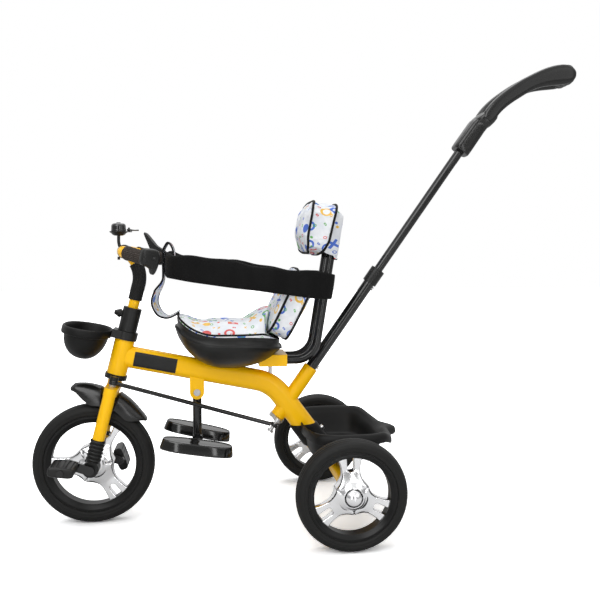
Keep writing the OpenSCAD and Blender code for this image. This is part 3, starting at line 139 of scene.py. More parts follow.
def turned(rows, x, y, n):
    """Rings of n points about an upright axis at x and y, from rows of radius and height."""
    a = circle(n)
    return np.array([points(x + r * np.cos(a), y + r * np.sin(a), z) for r, z in rows])


def round_axle(r, turn, y, hub):
    """Points at radius r and angle turn about an axle along Y, y along it."""
    return points(hub[0] + r * np.cos(turn), hub[1] + y, hub[2] + r * np.sin(turn))


def grid_quads(m, n, wrap_m=False, wrap_n=False):
    """Corner indices of the quads of an m by n grid of vertices."""
    i = np.arange(m if wrap_m else m - 1)[:, None]
    j = np.arange(n if wrap_n else n - 1)[None, :]
    i2, j2 = (i + 1) % m, (j + 1) % n
    return np.stack([i * n + j, i * n + j2, i2 * n + j2, i2 * n + j], -1).reshape(-1, 4)


def rim_round(m, n):
    """Vertex numbers round the edge of an m by n grid, in order."""
    idx = np.arange(m * n).reshape(m, n)
    return np.concatenate([idx[0, :-1], idx[:-1, -1], idx[-1, :0:-1], idx[:0:-1, 0]])


def square_disc(k):
    """A k by k grid squeezed to a disc: share of the radius and angle at each vertex."""
    u, v = np.meshgrid(np.linspace(-1, 1, k), np.linspace(-1, 1, k))
    return np.maximum(np.abs(u), np.abs(v)).reshape(-1), np.arctan2(v, u).reshape(-1)


def volume(verts, faces):
    """Six times the volume inside a closed skin, negative where it faces inwards."""
    a = verts[faces]
    pairs = range(1, faces.shape[1] - 1)
    return sum(np.einsum("ij,ij->", a[:, 0], np.cross(a[:, k], a[:, k + 1])) for k in pairs)


def place(local, foot, tilt):
    """Turns local points by tilt about Y, towards +X from +Z, and moves them to foot (x, z)."""
    x, y, z = local[..., 0], local[..., 1], local[..., 2]
    c, s = math.cos(tilt), math.sin(tilt)
    return points(foot[0] + x * c + z * s, y, foot[1] - x * s + z * c)


def unplace(world, foot, tilt):
    """Undoes place."""
    x, y, z = world[..., 0] - foot[0], world[..., 1], world[..., 2] - foot[1]
    c, s = math.cos(tilt), math.sin(tilt)
    return points(x * c - z * s, y, x * s + z * c)


def carry(local, joint):
    """Puts points of a joint's own frame into the part's frame."""
    origin, x, z = joint
    return origin + local[..., :1] * x + local[..., 1:2] * SIDEWAYS + local[..., 2:] * z


class Skin:
    """Gathers grids of vertices with their UV and finish, to become one mesh."""

    def __init__(self):
        self.verts, self.faces, self.uvs, self.mats, self.count = [], [], [], [], 0

    def corners(self, verts, groups, mat=0):
        """Adds a closed skin from groups of faces with the UV at their corners, and turns it outwards."""
        step = -1 if sum(volume(verts, f) for f, _ in groups) < 0 else 1
        for f, uv in groups:
            self.faces.append(f[:, ::step] + self.count)
            self.uvs.append(uv[:, ::step])
            self.mats.append(np.full(len(f), mat))
        self.verts.append(verts)
        self.count += len(verts)
        return self

    def add(self, verts, faces, uv=None, mat=0):
        """Adds a closed skin with one UV at each vertex."""
        uv = verts[:, [1, 2]] if uv is None else uv
        return self.corners(verts, [(f, uv[f]) for f in faces], mat)

    def shell(self, rings, mat=0, uv=None):
        """Closed skin over rings of equal length, with a fan over each end."""
        rings = np.asarray(rings, float)
        m, n = rings.shape[:2]
        j = np.arange(n)
        after = (j + 1) % n
        low = np.stack([np.full(n, m * n), after, j], -1)
        top = np.stack([np.full(n, m * n + 1), (m - 1) * n + j, (m - 1) * n + after], -1)
        verts = np.vstack([rings.reshape(-1, 3), rings[0].mean(0), rings[-1].mean(0)])
        if uv is not None:
            uv = np.vstack([uv.reshape(-1, 2), uv[0].mean(0), uv[-1].mean(0)])
        return self.add(verts, [grid_quads(m, n, wrap_n=True), np.vstack([low, top])], uv, mat)

    def loop(self, rings, mat=0, uv=None):
        """Closed skin over rings that also join end to end."""
        m, n = rings.shape[:2]
        flat = None if uv is None else uv.reshape(-1, 2)
        return self.add(rings.reshape(-1, 3), [grid_quads(m, n, True, True)], flat, mat)

    def tube(self, path, radius, mat=0, closed=False, sides=8):
        """Round tube of the given radius along a path."""
        p = np.asarray(path, float)
        if closed:
            d = unit(np.roll(p, -1, 0) - np.roll(p, 1, 0))
            ref = p.mean(0) - p
        else:
            d = unit(np.gradient(p, axis=0))
            sideways = abs(d[len(d) // 2, 1]) > 0.85
            ref = np.tile([1.0, 0, 0] if sideways else SIDEWAYS, (len(p), 1))
        s = unit(np.cross(d, ref))
        w = np.cross(s, d)
        a = circle(sides)[None, :, None]
        rings = p[:, None] + radius * (s[:, None] * np.cos(a) + w[:, None] * np.sin(a))
        return self.loop(rings, mat) if closed else self.shell(rings, mat)

    def piece(self, name, finishes, sharp, body, slot, *nodes):
        """Makes the mesh at the origin, hangs it on its body and hides the nodes that it stands for; slot is
        not used.
        """
        mesh = bpy.data.meshes.new(name)
        verts = np.vstack(self.verts) * MM
        mesh.from_pydata(verts.tolist(), [], [f for part in self.faces for f in part.tolist()])
        mesh.polygons.foreach_set("material_index", np.concatenate(self.mats).astype(np.int32))
        uv = np.concatenate([u.reshape(-1) for u in self.uvs]) * MM
        mesh.uv_layers.new(name="cloth").data.foreach_set("uv", uv.astype(np.float32))
        mesh.shade_smooth()
        mesh.set_sharp_from_angle(angle=math.radians(sharp))
        for finish in finishes:
            mesh.materials.append(bpy.data.materials[finish])
        mesh.update()
        ob = bpy.data.objects.new(name, mesh)
        bpy.context.scene.collection.objects.link(ob)
        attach(ob, body)
        if nodes:
            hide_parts(*nodes)
        return ob


# Padded covers

COVER_FINISHES = ["printed_cover", "piping_cord"]
BAND_UV = 300  # Where the side bands lie on the print, in millimetres
CLOTH_FRAMES = 20
CLOTH_SETTINGS = {
    "quality": 6,
    "mass": 0.15,
    "tension_stiffness": 12,
    "compression_stiffness": 12,
    "shear_stiffness": 5,
    "bending_stiffness": 0.15,
    "use_pressure": True,
    "vertex_group_mass": "held",
    "shrink_min": -0.05,
}


def stuffed(name, node, front, back, sides, uv_front, uv_back, pins, swell, cap, piping):
    """A padded cover: a front and a back panel on square grids and side bands between their edges.

    The panels' edges are sewn, so cloth simulation with air pressure holds them and swells the rest,
    by cap at most; then a corded edge runs along each seam."""
    k = int(round(math.sqrt(len(front))))
    edge = rim_round(k, k)
    n, g = len(edge), len(sides)
    verts = np.vstack([front, back] + sides)
    quads = grid_quads(k, k)
    seams = [edge, k * k + edge]
    loops = np.array([edge] + [2 * k * k + n * i + np.arange(n) for i in range(g)] + [k * k + edge])
    after = np.roll(loops, -1, 1)
    band = np.stack([loops[:-1], after[:-1], after[1:], loops[1:]], -1).reshape(-1, 4)
    run = run_along(front[np.append(edge, edge[0])])
    deep = np.append(0, np.cumsum(np.linalg.norm(np.diff(verts[loops], axis=0), axis=2).mean(1)))
    corner = lambda a, b: points(run[a : n + a], deep[b : g + 1 + b, None] + BAND_UV)
    band_uv = np.stack([corner(0, 0), corner(1, 0), corner(1, 1), corner(0, 1)], 2).reshape(-1, 4, 2)
    faces = np.vstack([quads[:, ::-1], quads + k * k, band])
    uvs = np.vstack([uv_front[quads[:, ::-1]], uv_back[quads], band_uv])
    if volume(verts, faces) < 0:
        faces, uvs = faces[:, ::-1], uvs[:, ::-1]
    held = np.zeros(len(verts))
    held[np.concatenate(seams)] = 1
    held = np.maximum(held, pins(verts))
    verts = swollen(verts, faces, held, swell, cap)
    skin = Skin().corners(verts, [(faces, uvs)])
    for seam in seams:
        path = verts[seam]
        for _ in range(2):
            path = (np.roll(path, 1, 0) + 2 * path + np.roll(path, -1, 0)) / 4
        skin.tube(path, piping, 1, closed=True)
    ob = skin.piece(name, COVER_FINISHES, 70, "frame", "printed_cloth", node)
    finer = ob.modifiers.new("finer", "SUBSURF")
    finer.levels = finer.render_levels = 1


def swollen(verts, faces, held, pressure, cap):
    """Blows a closed cover up with Blender's Cloth, with the held vertices pinned, and caps each move."""
    scene = bpy.context.scene
    mesh = bpy.data.meshes.new("cloth_try")
    mesh.from_pydata((verts * MM).tolist(), [], faces.tolist())
    ob = bpy.data.objects.new("cloth_try", mesh)
    scene.collection.objects.link(ob)
    group = ob.vertex_groups.new(name="held")
    group.add(np.nonzero(held)[0].tolist(), 1.0, "REPLACE")
    cloth = ob.modifiers.new("cloth", "CLOTH")
    for key, value in CLOTH_SETTINGS.items():
        setattr(cloth.settings, key, value)
    cloth.settings.uniform_pressure_force = pressure
    cloth.settings.effector_weights.gravity = 0
    cloth.collision_settings.use_collision = False
    cloth.collision_settings.use_self_collision = False
    cloth.point_cache.frame_start, cloth.point_cache.frame_end = 1, CLOTH_FRAMES
    for f in range(1, CLOTH_FRAMES + 1):
        scene.frame_set(f)
    done = ob.evaluated_get(bpy.context.evaluated_depsgraph_get()).to_mesh()
    co = np.empty(len(verts) * 3, np.float32)
    done.vertices.foreach_get("co", co)
    move = co.reshape(-1, 3).astype(float) / MM - verts
    far = np.linalg.norm(move, axis=1)[:, None]
    scene.frame_set(1)
    bpy.data.objects.remove(ob)
    bpy.data.meshes.remove(mesh)
    return verts + move * np.minimum(1, cap / np.maximum(far, 1e-9))


# Materials


class Nodes:
    """Short way to place and join nodes in one tree."""

    def __init__(self, tree):
        self.tree = tree

    def put(self, socket, value):
        """Joins a socket to another or sets its value."""
        if isinstance(value, bpy.types.NodeSocket):
            self.tree.links.new(value, socket)
        else:
            socket.default_value = value

    def add(self, kind, **values):
        """Makes a node; words set its settings, and in_ with a number or name sets or joins an input."""
        node = self.tree.nodes.new("ShaderNode" + kind)
        inputs = {key[3:]: value for key, value in values.items() if key.startswith("in_")}
        for key, value in values.items():
            if not key.startswith("in_"):
                setattr(node, key, value)
        for key, value in inputs.items():
            self.put(node.inputs[int(key) if key.isdigit() else key], value)
        return node

    def math(self, kind, a, b=0.0, clamp=False):
        """One Math node."""
        return self.add("Math", operation=kind, use_clamp=clamp, in_0=a, in_1=b).outputs[0]

    def noise(self, at, scale, detail):
        """One noise texture."""
        return self.add("TexNoise", in_Vector=at, in_Scale=scale, in_Detail=detail).outputs[0]

    def mix(self, factor, a, b, blend="MIX"):
        """One colour mix; the colours are inputs 6 and 7 and output 2 of its node."""
        node = self.add("Mix", data_type="RGBA", blend_type=blend, in_0=factor, in_6=a, in_7=b)
        return node.outputs[2]

    def ramp(self, value, lo, hi, out_lo=0.0, out_hi=1.0):
        """Straight map of a value from lo..hi to out_lo..out_hi, clamped."""
        return self.add("MapRange", in_0=value, in_1=lo, in_2=hi, in_3=out_lo, in_4=out_hi).outputs[0]

    def bump(self, shader, strength, distance, height):
        """A bump on the shader's normal."""
        node = self.add("Bump", in_Strength=strength, in_Distance=distance, in_Height=height)
        self.put(shader.inputs["Normal"], node.outputs[0])


def make_group(name, inputs, outputs):
    """An empty shader node group with the named float, colour and vector sockets."""
    tree = bpy.data.node_groups.new(name, "ShaderNodeTree")
    kinds = {"f": "NodeSocketFloat", "c": "NodeSocketColor", "v": "NodeSocketVector"}
    for label, kind, value in inputs:
        socket = tree.interface.new_socket(label, in_out="INPUT", socket_type=kinds[kind])
        if value is not None:
            socket.default_value = value
    for label, kind in outputs:
        tree.interface.new_socket(label, in_out="OUTPUT", socket_type=kinds[kind])
    given = tree.nodes.new("NodeGroupInput").outputs
    return Nodes(tree), given, tree.nodes.new("NodeGroupOutput").inputs


def group_grain():
    """Moulded grain: fine cells with a slow drift, as a height, a roughness shift and a tone."""
    n, given, out = make_group(
        "moulded_grain",
        [("Vector", "v", None), ("Grain", "f", 800.0), ("Drift", "f", 14.0), ("Roughness", "f", 0.5),
         ("Spread", "f", 0.12)],
        [("Height", "f"), ("Roughness", "f"), ("Tone", "f")],
    )
    at = given["Vector"]
    drift = n.math("MULTIPLY", n.noise(at, given["Drift"], 4.0), 0.6)
    both = n.math("ADD", drift, n.math("MULTIPLY", n.noise(at, 110.0, 3.0), 0.4))
    shift = n.math("MULTIPLY", n.math("SUBTRACT", both, 0.5), given["Spread"])
    n.put(out["Height"], n.noise(at, given["Grain"], 2.0))
    n.put(out["Roughness"], n.math("ADD", given["Roughness"], n.math("MULTIPLY", shift, 2.0), True))
    n.put(out["Tone"], both)


def group_weave():
    """Plain weave from two crossed sine bands on the cloth's own UV, as a height and a tone; the tone is the
    wrinkles' noise, low in their hollows, which the cloth uses to paint shade there.
    """
    n, given, out = make_group(
        "plain_weave", [("Vector", "v", None), ("Threads", "f", 1100.0)], [("Height", "f"), ("Tone", "f")]
    )
    at = n.add("SeparateXYZ", in_0=given["Vector"]).outputs
    turn = n.math("MULTIPLY", given["Threads"], 2 * math.pi)
    warp, weft = (n.math("SINE", n.math("MULTIPLY", at[k], turn)) for k in (0, 1))
    up = n.math("MULTIPLY", n.math("ADD", n.math("MULTIPLY", warp, weft), 1.0), 0.5)
    # Wrinkles: one noise bumps the cloth and, as the tone, marks where painted shade goes
    wrinkles_and_painted_shade = n.noise(given["Vector"], 26.0, 5.0)
    n.put(out["Height"], n.math("ADD", n.math("MULTIPLY", up, 0.25), wrinkles_and_painted_shade))
    n.put(out["Tone"], wrinkles_and_painted_shade)


def group_print():
    """Scattered motifs: in each Voronoi cell a disc, ring, brick or cross in one of four inks."""
    n, given, out = make_group(
        "scattered_print",
        [("Vector", "v", None), ("Cells", "f", 27.0), ("Ground", "c", (0.86, 0.87, 0.88, 1)),
         ("First", "c", (0.02, 0.12, 0.6, 1)), ("Second", "c", (0.09, 0.42, 0.06, 1)),
         ("Third", "c", (0.75, 0.05, 0.04, 1)), ("Fourth", "c", (0.9, 0.52, 0.03, 1))],
        [("Color", "c")],
    )
    colour = given["Ground"]
    for scale, scatter, reach, seed in ((1.0, 0.75, 0.30, 0.0), (1.83, 0.8, 0.17, 3.7)):
        cells = n.math("MULTIPLY", given["Cells"], scale)
        at = n.add("VectorMath", operation="SCALE", in_0=given["Vector"], in_Scale=cells).outputs[0]
        at = n.add("VectorMath", operation="ADD", in_0=at, in_1=(seed, seed * 0.6, 0)).outputs[0]
        cell = n.add(
            "TexVoronoi", voronoi_dimensions="2D", in_Vector=at, in_Scale=1.0, in_Randomness=scatter
        ).outputs
        off = n.add("VectorMath", operation="SUBTRACT", in_0=at, in_1=cell["Position"]).outputs[0]
        kind, hue, turn = n.add("SeparateColor", in_0=cell["Color"]).outputs
        turn = n.math("MULTIPLY", turn, 6.28)
        spin = n.add("VectorRotate", rotation_type="Z_AXIS", in_Vector=off, in_Angle=turn).outputs[0]
        xy = n.add("SeparateXYZ", in_0=spin).outputs
        x, y = n.math("ABSOLUTE", xy[0]), n.math("ABSOLUTE", xy[1])
        far = n.math("SQRT", n.math("ADD", n.math("MULTIPLY", x, x), n.math("MULTIPLY", y, y)))
        box = n.math("MAXIMUM", n.math("MULTIPLY", x, 0.8), n.math("MULTIPLY", y, 1.35))

        def within(value, share):
            """1 where the value is under a share of the motif's reach."""
            return n.math("LESS_THAN", value, reach * share)

        def one(lo, hi):
            """1 in the cells whose kind lies between lo and hi."""
            above = n.math("GREATER_THAN", kind, lo)
            return n.math("MULTIPLY", above, n.math("LESS_THAN", kind, hi))

        ring = within(n.math("ABSOLUTE", n.math("SUBTRACT", far, reach * 0.75)), 0.2)
        cross = n.math("MULTIPLY", within(n.math("MINIMUM", x, y), 0.22), within(far, 1))
        mask = n.math("MULTIPLY", within(far, 0.8), one(0.0, 0.28))
        for shape, lo, hi in ((ring, 0.28, 0.5), (within(box, 0.72), 0.5, 0.78), (cross, 0.78, 0.95)):
            mask = n.math("MAXIMUM", mask, n.math("MULTIPLY", shape, one(lo, hi)))
        ink = given["First"]
        for label, lo in (("Second", 0.34), ("Third", 0.58), ("Fourth", 0.78)):
            ink = n.mix(n.math("GREATER_THAN", hue, lo), ink, given[label])
        eye = n.math("MULTIPLY", within(far, 0.3), one(0.5, 0.78))
        ink = n.mix(n.math("MULTIPLY", eye, 0.85), ink, given["Ground"])
        colour = n.mix(n.math("MULTIPLY", mask, 0.93), colour, ink)
    n.put(out["Color"], colour)


def new_material(name, values):
    """A material with one Principled shader and its plain inputs set."""
    mat = bpy.data.materials.new(name)
    mat.use_nodes = True
    shader = mat.node_tree.nodes["Principled BSDF"]
    for key, value in values.items():
        shader.inputs[key.replace("_", " ")].default_value = value
    return Nodes(mat.node_tree), shader


def tint(colour, k):
    """The colour made k times as bright."""
    return (colour[0] * k, colour[1] * k, colour[2] * k, 1)


def grained(name, colour, rough, grain, height, spread=0.12, drift=14.0, tone=0.25, **values):
    """A moulded, painted or rubber finish with the shared grain."""
    n, shader = new_material(name, values)
    group = bpy.data.node_groups["moulded_grain"]
    at = n.add("TexCoord").outputs["Object"]
    out = n.add(
        "Group", node_tree=group, in_Vector=at, in_Grain=grain, in_Drift=drift, in_Roughness=rough,
        in_Spread=spread,
    ).outputs
    shade = n.mix(n.ramp(out["Tone"], 0.3, 0.7), tint(colour, 1 - tone), tint(colour, 1 + tone))
    n.put(shader.inputs["Base Color"], shade)
    n.put(shader.inputs["Roughness"], out["Roughness"])
    n.bump(shader, height, 0.001, out["Height"])


def cloth(name, colour, threads, height, printed=False, **values):
    """Woven cloth on its own UV, plain or with the scattered print, with painted shade in its wrinkles'
    hollows and, on plain cloth, a painted highlight on their crowns.
    """
    n, shader = new_material(name, dict(values, Roughness=0.85))
    uv = n.add("UVMap", uv_map="cloth").outputs[0]
    groups = bpy.data.node_groups
    weave = n.add("Group", node_tree=groups["plain_weave"], in_Vector=uv, in_Threads=threads).outputs
    # The weave's tone, low in the wrinkles' hollows, sets the painted shade below
    tone = n.ramp(weave["Tone"], 0.35, 0.65)
    if printed:
        ink = n.add("Group", node_tree=groups["scattered_print"], in_Vector=uv, in_Ground=tint(colour, 1))
        # Painted shade: the print is multiplied by a bluish grey in the wrinkles' hollows
        wrinkles_and_painted_shade = n.mix(tone, (0.80, 0.83, 0.87, 1), (1, 1, 1, 1))
        base = n.mix(1.0, ink.outputs[0], wrinkles_and_painted_shade, "MULTIPLY")
    else:
        # Painted shade and highlight: darker in the wrinkles' hollows, lighter on their crowns
        base = n.mix(tone, tint(colour, 0.75), tint(colour, 1.3))
    n.put(shader.inputs["Base Color"], base)
    n.bump(shader, height, 0.002, weave["Height"])


# Settings


def colour_setting(name, words, value):
    """One colour that a user may change."""
    return FloatVectorProperty(
        name=name, description=words, subtype="COLOR", size=3, min=0, max=1, default=value
    )


def length_setting(name, words, value):
    """One length in metres that a user may change."""
    return FloatProperty(name=name, description=words, unit="LENGTH", subtype="DISTANCE", default=value)


class TrikeColours(bpy.types.PropertyGroup):
    """Colours of the finishes."""

    frame_paint: colour_setting("Frame paint", "Powder coat on the frame and fork", (1.0, 0.545, 0.002))
    tube_paint: colour_setting("Tube paint", "Satin paint on posts and push handle", (0.008, 0.008, 0.008))
    moulding: colour_setting("Moulding", "Black moulded plastic", (0.011, 0.011, 0.0105))
    tyre: colour_setting("Tyre", "Rubber of the tyres", (0.008, 0.008, 0.0075))
    grips: colour_setting("Grips", "Rubber of the handlebar grips", (0.034, 0.025, 0.020))
    cover: colour_setting("Cover", "White ground of the printed covers", (0.84, 0.85, 0.87))
    band: colour_setting("Band", "Cloth of the guard ring", (0.0045, 0.0045, 0.0045))


class TrikeSizes(bpy.types.PropertyGroup):
    """Sizes of the sewn and moulded details."""

    piping: length_setting("Piping", "Radius of the corded edges", 0.0028)
    ring_wave: length_setting("Ring wave", "Rise and fall of the guard ring's edges", 0.0014)
    tub_ledge: length_setting("Tub ledge", "How far the tub's ledge stands out below its rim", 0.0058)
    tub_band: length_setting("Tub band", "Height of the band above the tub's ledge", 0.016)


def setting(name):
    """One of the size settings, in millimetres."""
    return getattr(bpy.context.scene.trike_sizes, name) / MM


CHROME, ZINC = (0.86, 0.86, 0.87), (0.55, 0.55, 0.55)
SIDES = ("left", "right")


def pair(*names):
    """The left and the right node of each name."""
    return [name + "_" + side for name in names for side in SIDES]


# The solids on which each finish goes
FINISHES = {
    "frame_powder_coat": ["main_frame", "seat_bracket", "fork", "handlebar"],
    "satin_tube_paint": ["lower_tube", "upper_tube", "steering_rod", "footrest_post", "rear_axle",
                         "crank_axle"] + pair("backrest_post"),
    "moulded_black": ["seat_tub", "rear_basket", "mudguard", "basket_ring", "front_basket", "stem_collar",
                      "clamp_knob", "handle_collar", "handle_grip", "bell_base", "bell_lever", "label_plate",
                      "steering_ring"] + pair("fork_boot", "foot_pad", "pedal", "hand_guard"),
    "polished_black": ["bell_dome"],
    "rim_black": ["front_rim"] + pair("rear_rim"),
    "soft_tyre_rubber": ["front_tyre"] + pair("rear_tyre"),
    "ribbed_grip_rubber": pair("grip"),
    "sleeve_foam": ["stem_sleeve"],
    "bright_chrome": ["front_spokes"] + pair("rear_spokes", "rear_cap"),
    "plated_steel": ["seat_bolt", "basket_bolts", "rod_pin", "footrest_pin", "lower_button", "upper_button",
                     "steering_lever"],
}


class TRIKE_OT_finishes(bpy.types.Operator):
    """Make the materials and put them on the solids"""

    bl_idname = "trike.finishes"
    bl_label = "Finishes"

    def execute(self, context):
        c = context.scene.trike_colours
        black = lambda k: tint(c.moulding, k)
        group_grain()
        group_weave()
        group_print()
        grained("frame_powder_coat", c.frame_paint, 0.3, 420.0, 0.02, 0.08, 9.0, 0.03, Coat_Weight=0.08,
                Coat_Roughness=0.1, Specular_IOR_Level=0.22)
        grained("satin_tube_paint", c.tube_paint, 0.15, 500.0, 0.004, 0.05, 11.0, 0.2, Specular_IOR_Level=0.5)
        grained("moulded_black", c.moulding, 0.38, 1100.0, 0.025, 0.1, Specular_IOR_Level=0.3)
        grained("polished_black", black(0.5), 0.08, 300.0, 0.002, 0.03, 12.0, 0.15, Coat_Weight=0.6)
        grained("rim_black", black(0.4), 0.34, 900.0, 0.01, 0.1, Specular_IOR_Level=0.25)
        grained("soft_tyre_rubber", c.tyre, 0.6, 1400.0, 0.08, 0.14, 20.0, 0.25, Specular_IOR_Level=0.25)
        grained("ribbed_grip_rubber", c.grips, 0.6, 900.0, 0.08, 0.12, Specular_IOR_Level=0.3)
        grained("sleeve_foam", black(0.7), 0.7, 1500.0, 0.12, 0.1, Specular_IOR_Level=0.25)
        grained("bright_chrome", CHROME, 0.15, 160.0, 0.003, 0.03, 8.0, 0.03, Metallic=1.0)
        grained("plated_steel", ZINC, 0.32, 900.0, 0.06, 0.16, 20.0, 0.12, Metallic=1.0)
        grained("smooth_moulding", black(0.8), 0.22, 700.0, 0.004, 0.06, 10.0, 0.2, Specular_IOR_Level=0.45)
        grained("pad_gloss", black(0.5), 0.13, 700.0, 0.01, 0.05, 10.0, 0.2, Specular_IOR_Level=0.55)
        # Baskets: a darker black than the other mouldings, partly their own plastic and partly painted shade
        # for their hollow insides
        grained("basket_black", black(0.45), 0.5, 1100.0, 0.05, 0.1, Specular_IOR_Level=0.2)
        cloth("printed_cover", c.cover, 900.0, 0.3, True, Sheen_Weight=0.1)
        cloth("band_cloth", c.band, 700.0, 0.3, Sheen_Weight=0.02, Sheen_Roughness=0.4,
              Specular_IOR_Level=0.15)
        cloth("piping_cord", tint(c.band, 1.4), 900.0, 0.15, Specular_IOR_Level=0.3)
        for finish, nodes in FINISHES.items():
            for node in nodes:
                data = frame["nodes"][node].data
                data.materials.clear()
                data.materials.append(bpy.data.materials[finish])
        return {"FINISHED"}


# Seat


def tub_rim(t):
    """Height of the tub's rim above its foot: high in front, low behind."""
    c = np.cos(t)
    return TUB_SIDE + np.where(c < 0, TUB_FRONT - TUB_SIDE, TUB_REAR - TUB_SIDE) * np.abs(c) ** 2.2


def tub_plan(inset, t):
    """The tub's plan, drawn in by inset."""
    return outline(TUB_L / 2 - inset, TUB_W / 2 - inset, TUB_POWER, t)


def tub_ring(inset, v, low, t):
    """One level of the bowl: a superellipse that shrinks as sin v while its height rises as 1 - cos v."""
    x, y = tub_plan(inset, t)
    return points(SEAT_X + x * np.sin(v), y * np.sin(v), TUB_Z + low + (tub_rim(t) - low) * (1 - np.cos(v)))


def ring_height(x):
    """Height of the guard ring's middle, which rises towards the front."""
    return RING_Z + RING_RISE * (RING_REAR - x) / RING_RUN


class TRIKE_OT_tub(bpy.types.Operator):
    """Seat tub: a bowl with a ledge round it and a thin upright rim above the ledge"""

    bl_idname = "trike.tub"
    bl_label = "Seat tub"

    def execute(self, context):
        band, ledge = setting("tub_band"), setting("tub_ledge")
        wall, roll, steep = 5.2, 3.2, 62
        t = circle(160)
        rim = TUB_Z + tub_rim(t)

        def level(inset, down):
            """A ring that follows the rim, drawn in and lower."""
            x, y = tub_plan(inset, t)
            return points(SEAT_X + x, y, rim - down)

        # The bowl, a straighter shoulder, the rolled ledge, the rim and the inside
        rings = [tub_ring(0, v, 0, t) for v in np.radians(np.linspace(6, steep, 22))]
        low, shoulder = rings[-1][:, 2], rim - band - 7
        for k in np.linspace(0.2, 1, 5):
            out = tub_ring(0, math.radians(steep + 22 * k), 0, t)
            straight = low * (1 - k) + shoulder * k
            out[:, 2] = np.minimum(out[:, 2], (straight + out[:, 2]) / 2)
            rings.append(out)
        for a in np.radians([0, 20, 40, 60, 80]):
            rings.append(level(ledge * (1 - math.cos(a)) * 0.9, band + roll - roll * math.sin(a)))
        edge = [(ledge * 0.97, band - 1.5), (ledge, band * 0.5), (ledge * 0.96, 1.2), (ledge + 0.5, 0)]
        rings += [level(inset, down) for inset, down in edge + [(wall, 0.4), (wall, 6)]]
        rings += [tub_ring(wall, v, TUB_FLOOR, t) for v in np.radians(np.linspace(78, 8, 14))]
        skin = Skin().shell(rings)
        skin.piece("seat_tub_shell", ["moulded_black"], 50, "frame", "black_plastic", "seat_tub")
        return {"FINISHED"}


class TRIKE_OT_cushion(bpy.types.Operator):
    """Seat cushion: its underside follows the tub, and its crowned top is drawn in along the rim"""

    bl_idname = "trike.cushion"
    bl_label = "Seat cushion"

    def execute(self, context):
        k = 45
        m, t = square_disc(k)
        # The top is hollow, meets the rim and rises behind; the underside follows the tub's inside
        hollow, high = SIT_Z - 7, TUB_Z + np.maximum(tub_rim(t) + 2.5, 78) + 1
        x, y = (q * m for q in tub_plan(7, t))
        rise = 44 * smooth(12, 92, x) ** 1.6 * (1 - smooth(62, 98, np.abs(y))) * (1 - smooth(0.86, 0.98, m))
        z = hollow + (high - hollow) * smooth(0.45, 1.0, m) - 3 * (1 - smooth(0, 0.5, m)) + rise
        top = points(SEAT_X + x, y, z)
        x, y = (q * m * 0.985 for q in tub_plan(5.6, t))
        v = np.arcsin(np.clip(m, 0, 1)) * 0.96 + 0.02
        z = TUB_Z + TUB_FLOOR + 0.6 + (tub_rim(t) - TUB_FLOOR) * (1 - np.cos(v))
        under = points(SEAT_X + x, y, z)
        edge = rim_round(k, k)
        ze, zu = top[edge][:, 2], under[edge][:, 2]
        sides = []
        for inset, z in ((6.4, ze - 4), (6.2, np.maximum(ze - 9, (ze + zu) / 2)), (6.0, (ze + zu) / 2 - 2)):
            x, y = tub_plan(inset, t[edge])
            sides.append(points(SEAT_X + x, y, z))

        def clip(p):
            """Keeps the cushion below the back pad."""
            q = unplace(p, PAD_FOOT, PAD_TILT)
            q[:, 2] = np.where(q[:, 0] > -32.5, np.minimum(q[:, 2], -11.0), q[:, 2])
            return place(q, PAD_FOOT, PAD_TILT)

        def held(p):
            """Pins what lies in the tub or below the back pad."""
            low = p[:, 2] < TUB_Z + tub_rim(np.arctan2(p[:, 1], p[:, 0] - SEAT_X)) + 3
            return (low | (unplace(p, PAD_FOOT, PAD_TILT)[:, 0] > -33)).astype(float)

        top, under = clip(top), clip(under)
        stuffed("seat_cushion_cover", "seat_cushion", top, under, [clip(p) for p in sides], top[:, [0, 1]],
                under[:, [0, 1]], held, 2.0, 3.0, 2.2)
        return {"FINISHED"}


class TRIKE_OT_back_pad(bpy.types.Operator):
    """Back pad: a crowned front, a band of cloth round its edge and corded seams"""

    bl_idname = "trike.back_pad"
    bl_label = "Back pad"

    def execute(self, context):
        k, h, w = 37, 146.0, 196.0
        m, t = square_disc(k)
        centre = np.array([0, h / 2 - 8])
        z, y = outline(h / 2, w / 2, 4, t)
        z, y = centre[1] + z * m, y * m
        dome = 1 - m**3
        front = points(-20 - 6 * dome + 2 * np.sin(y / 17) * dome, y, z)
        back = points(18 + 3 * dome, y, z)
        edge = rim_round(k, k)
        sides = []
        for s in (0.25, 0.5, 0.75):
            p = front[edge] * (1 - s) + back[edge] * s
            p[:, 1:] = centre + (p[:, 1:] - centre) * (1 - 0.02 * math.sin(math.pi * s))
            sides.append(p)

        def lift(p):
            """Puts the pad in its place and lifts it off the tub's rim."""
            q = place(p, PAD_FOOT, PAD_TILT)
            x, y = q[:, 0] - SEAT_X, q[:, 1]
            r = (np.abs(x) / (TUB_L / 2 + 1)) ** TUB_POWER + (np.abs(y) / (TUB_W / 2 + 1)) ** TUB_POWER
            rim = TUB_Z + tub_rim(np.arctan2(y / TUB_W, x / TUB_L)) + 1.5
            q[:, 2] = np.where(r < 1.25, np.maximum(q[:, 2], rim), q[:, 2])
            return q

        held = lambda p: (p[:, 2] < PAD_FOOT[1] + 14).astype(float)
        # Each panel lies on another part of the print
        flat = points(y, z)
        stuffed("back_pad_cover", "back_pad", lift(front), lift(back), [lift(p) for p in sides], flat + 90,
                flat + 400, held, 3.0, 6.0, setting("piping"))
        return {"FINISHED"}


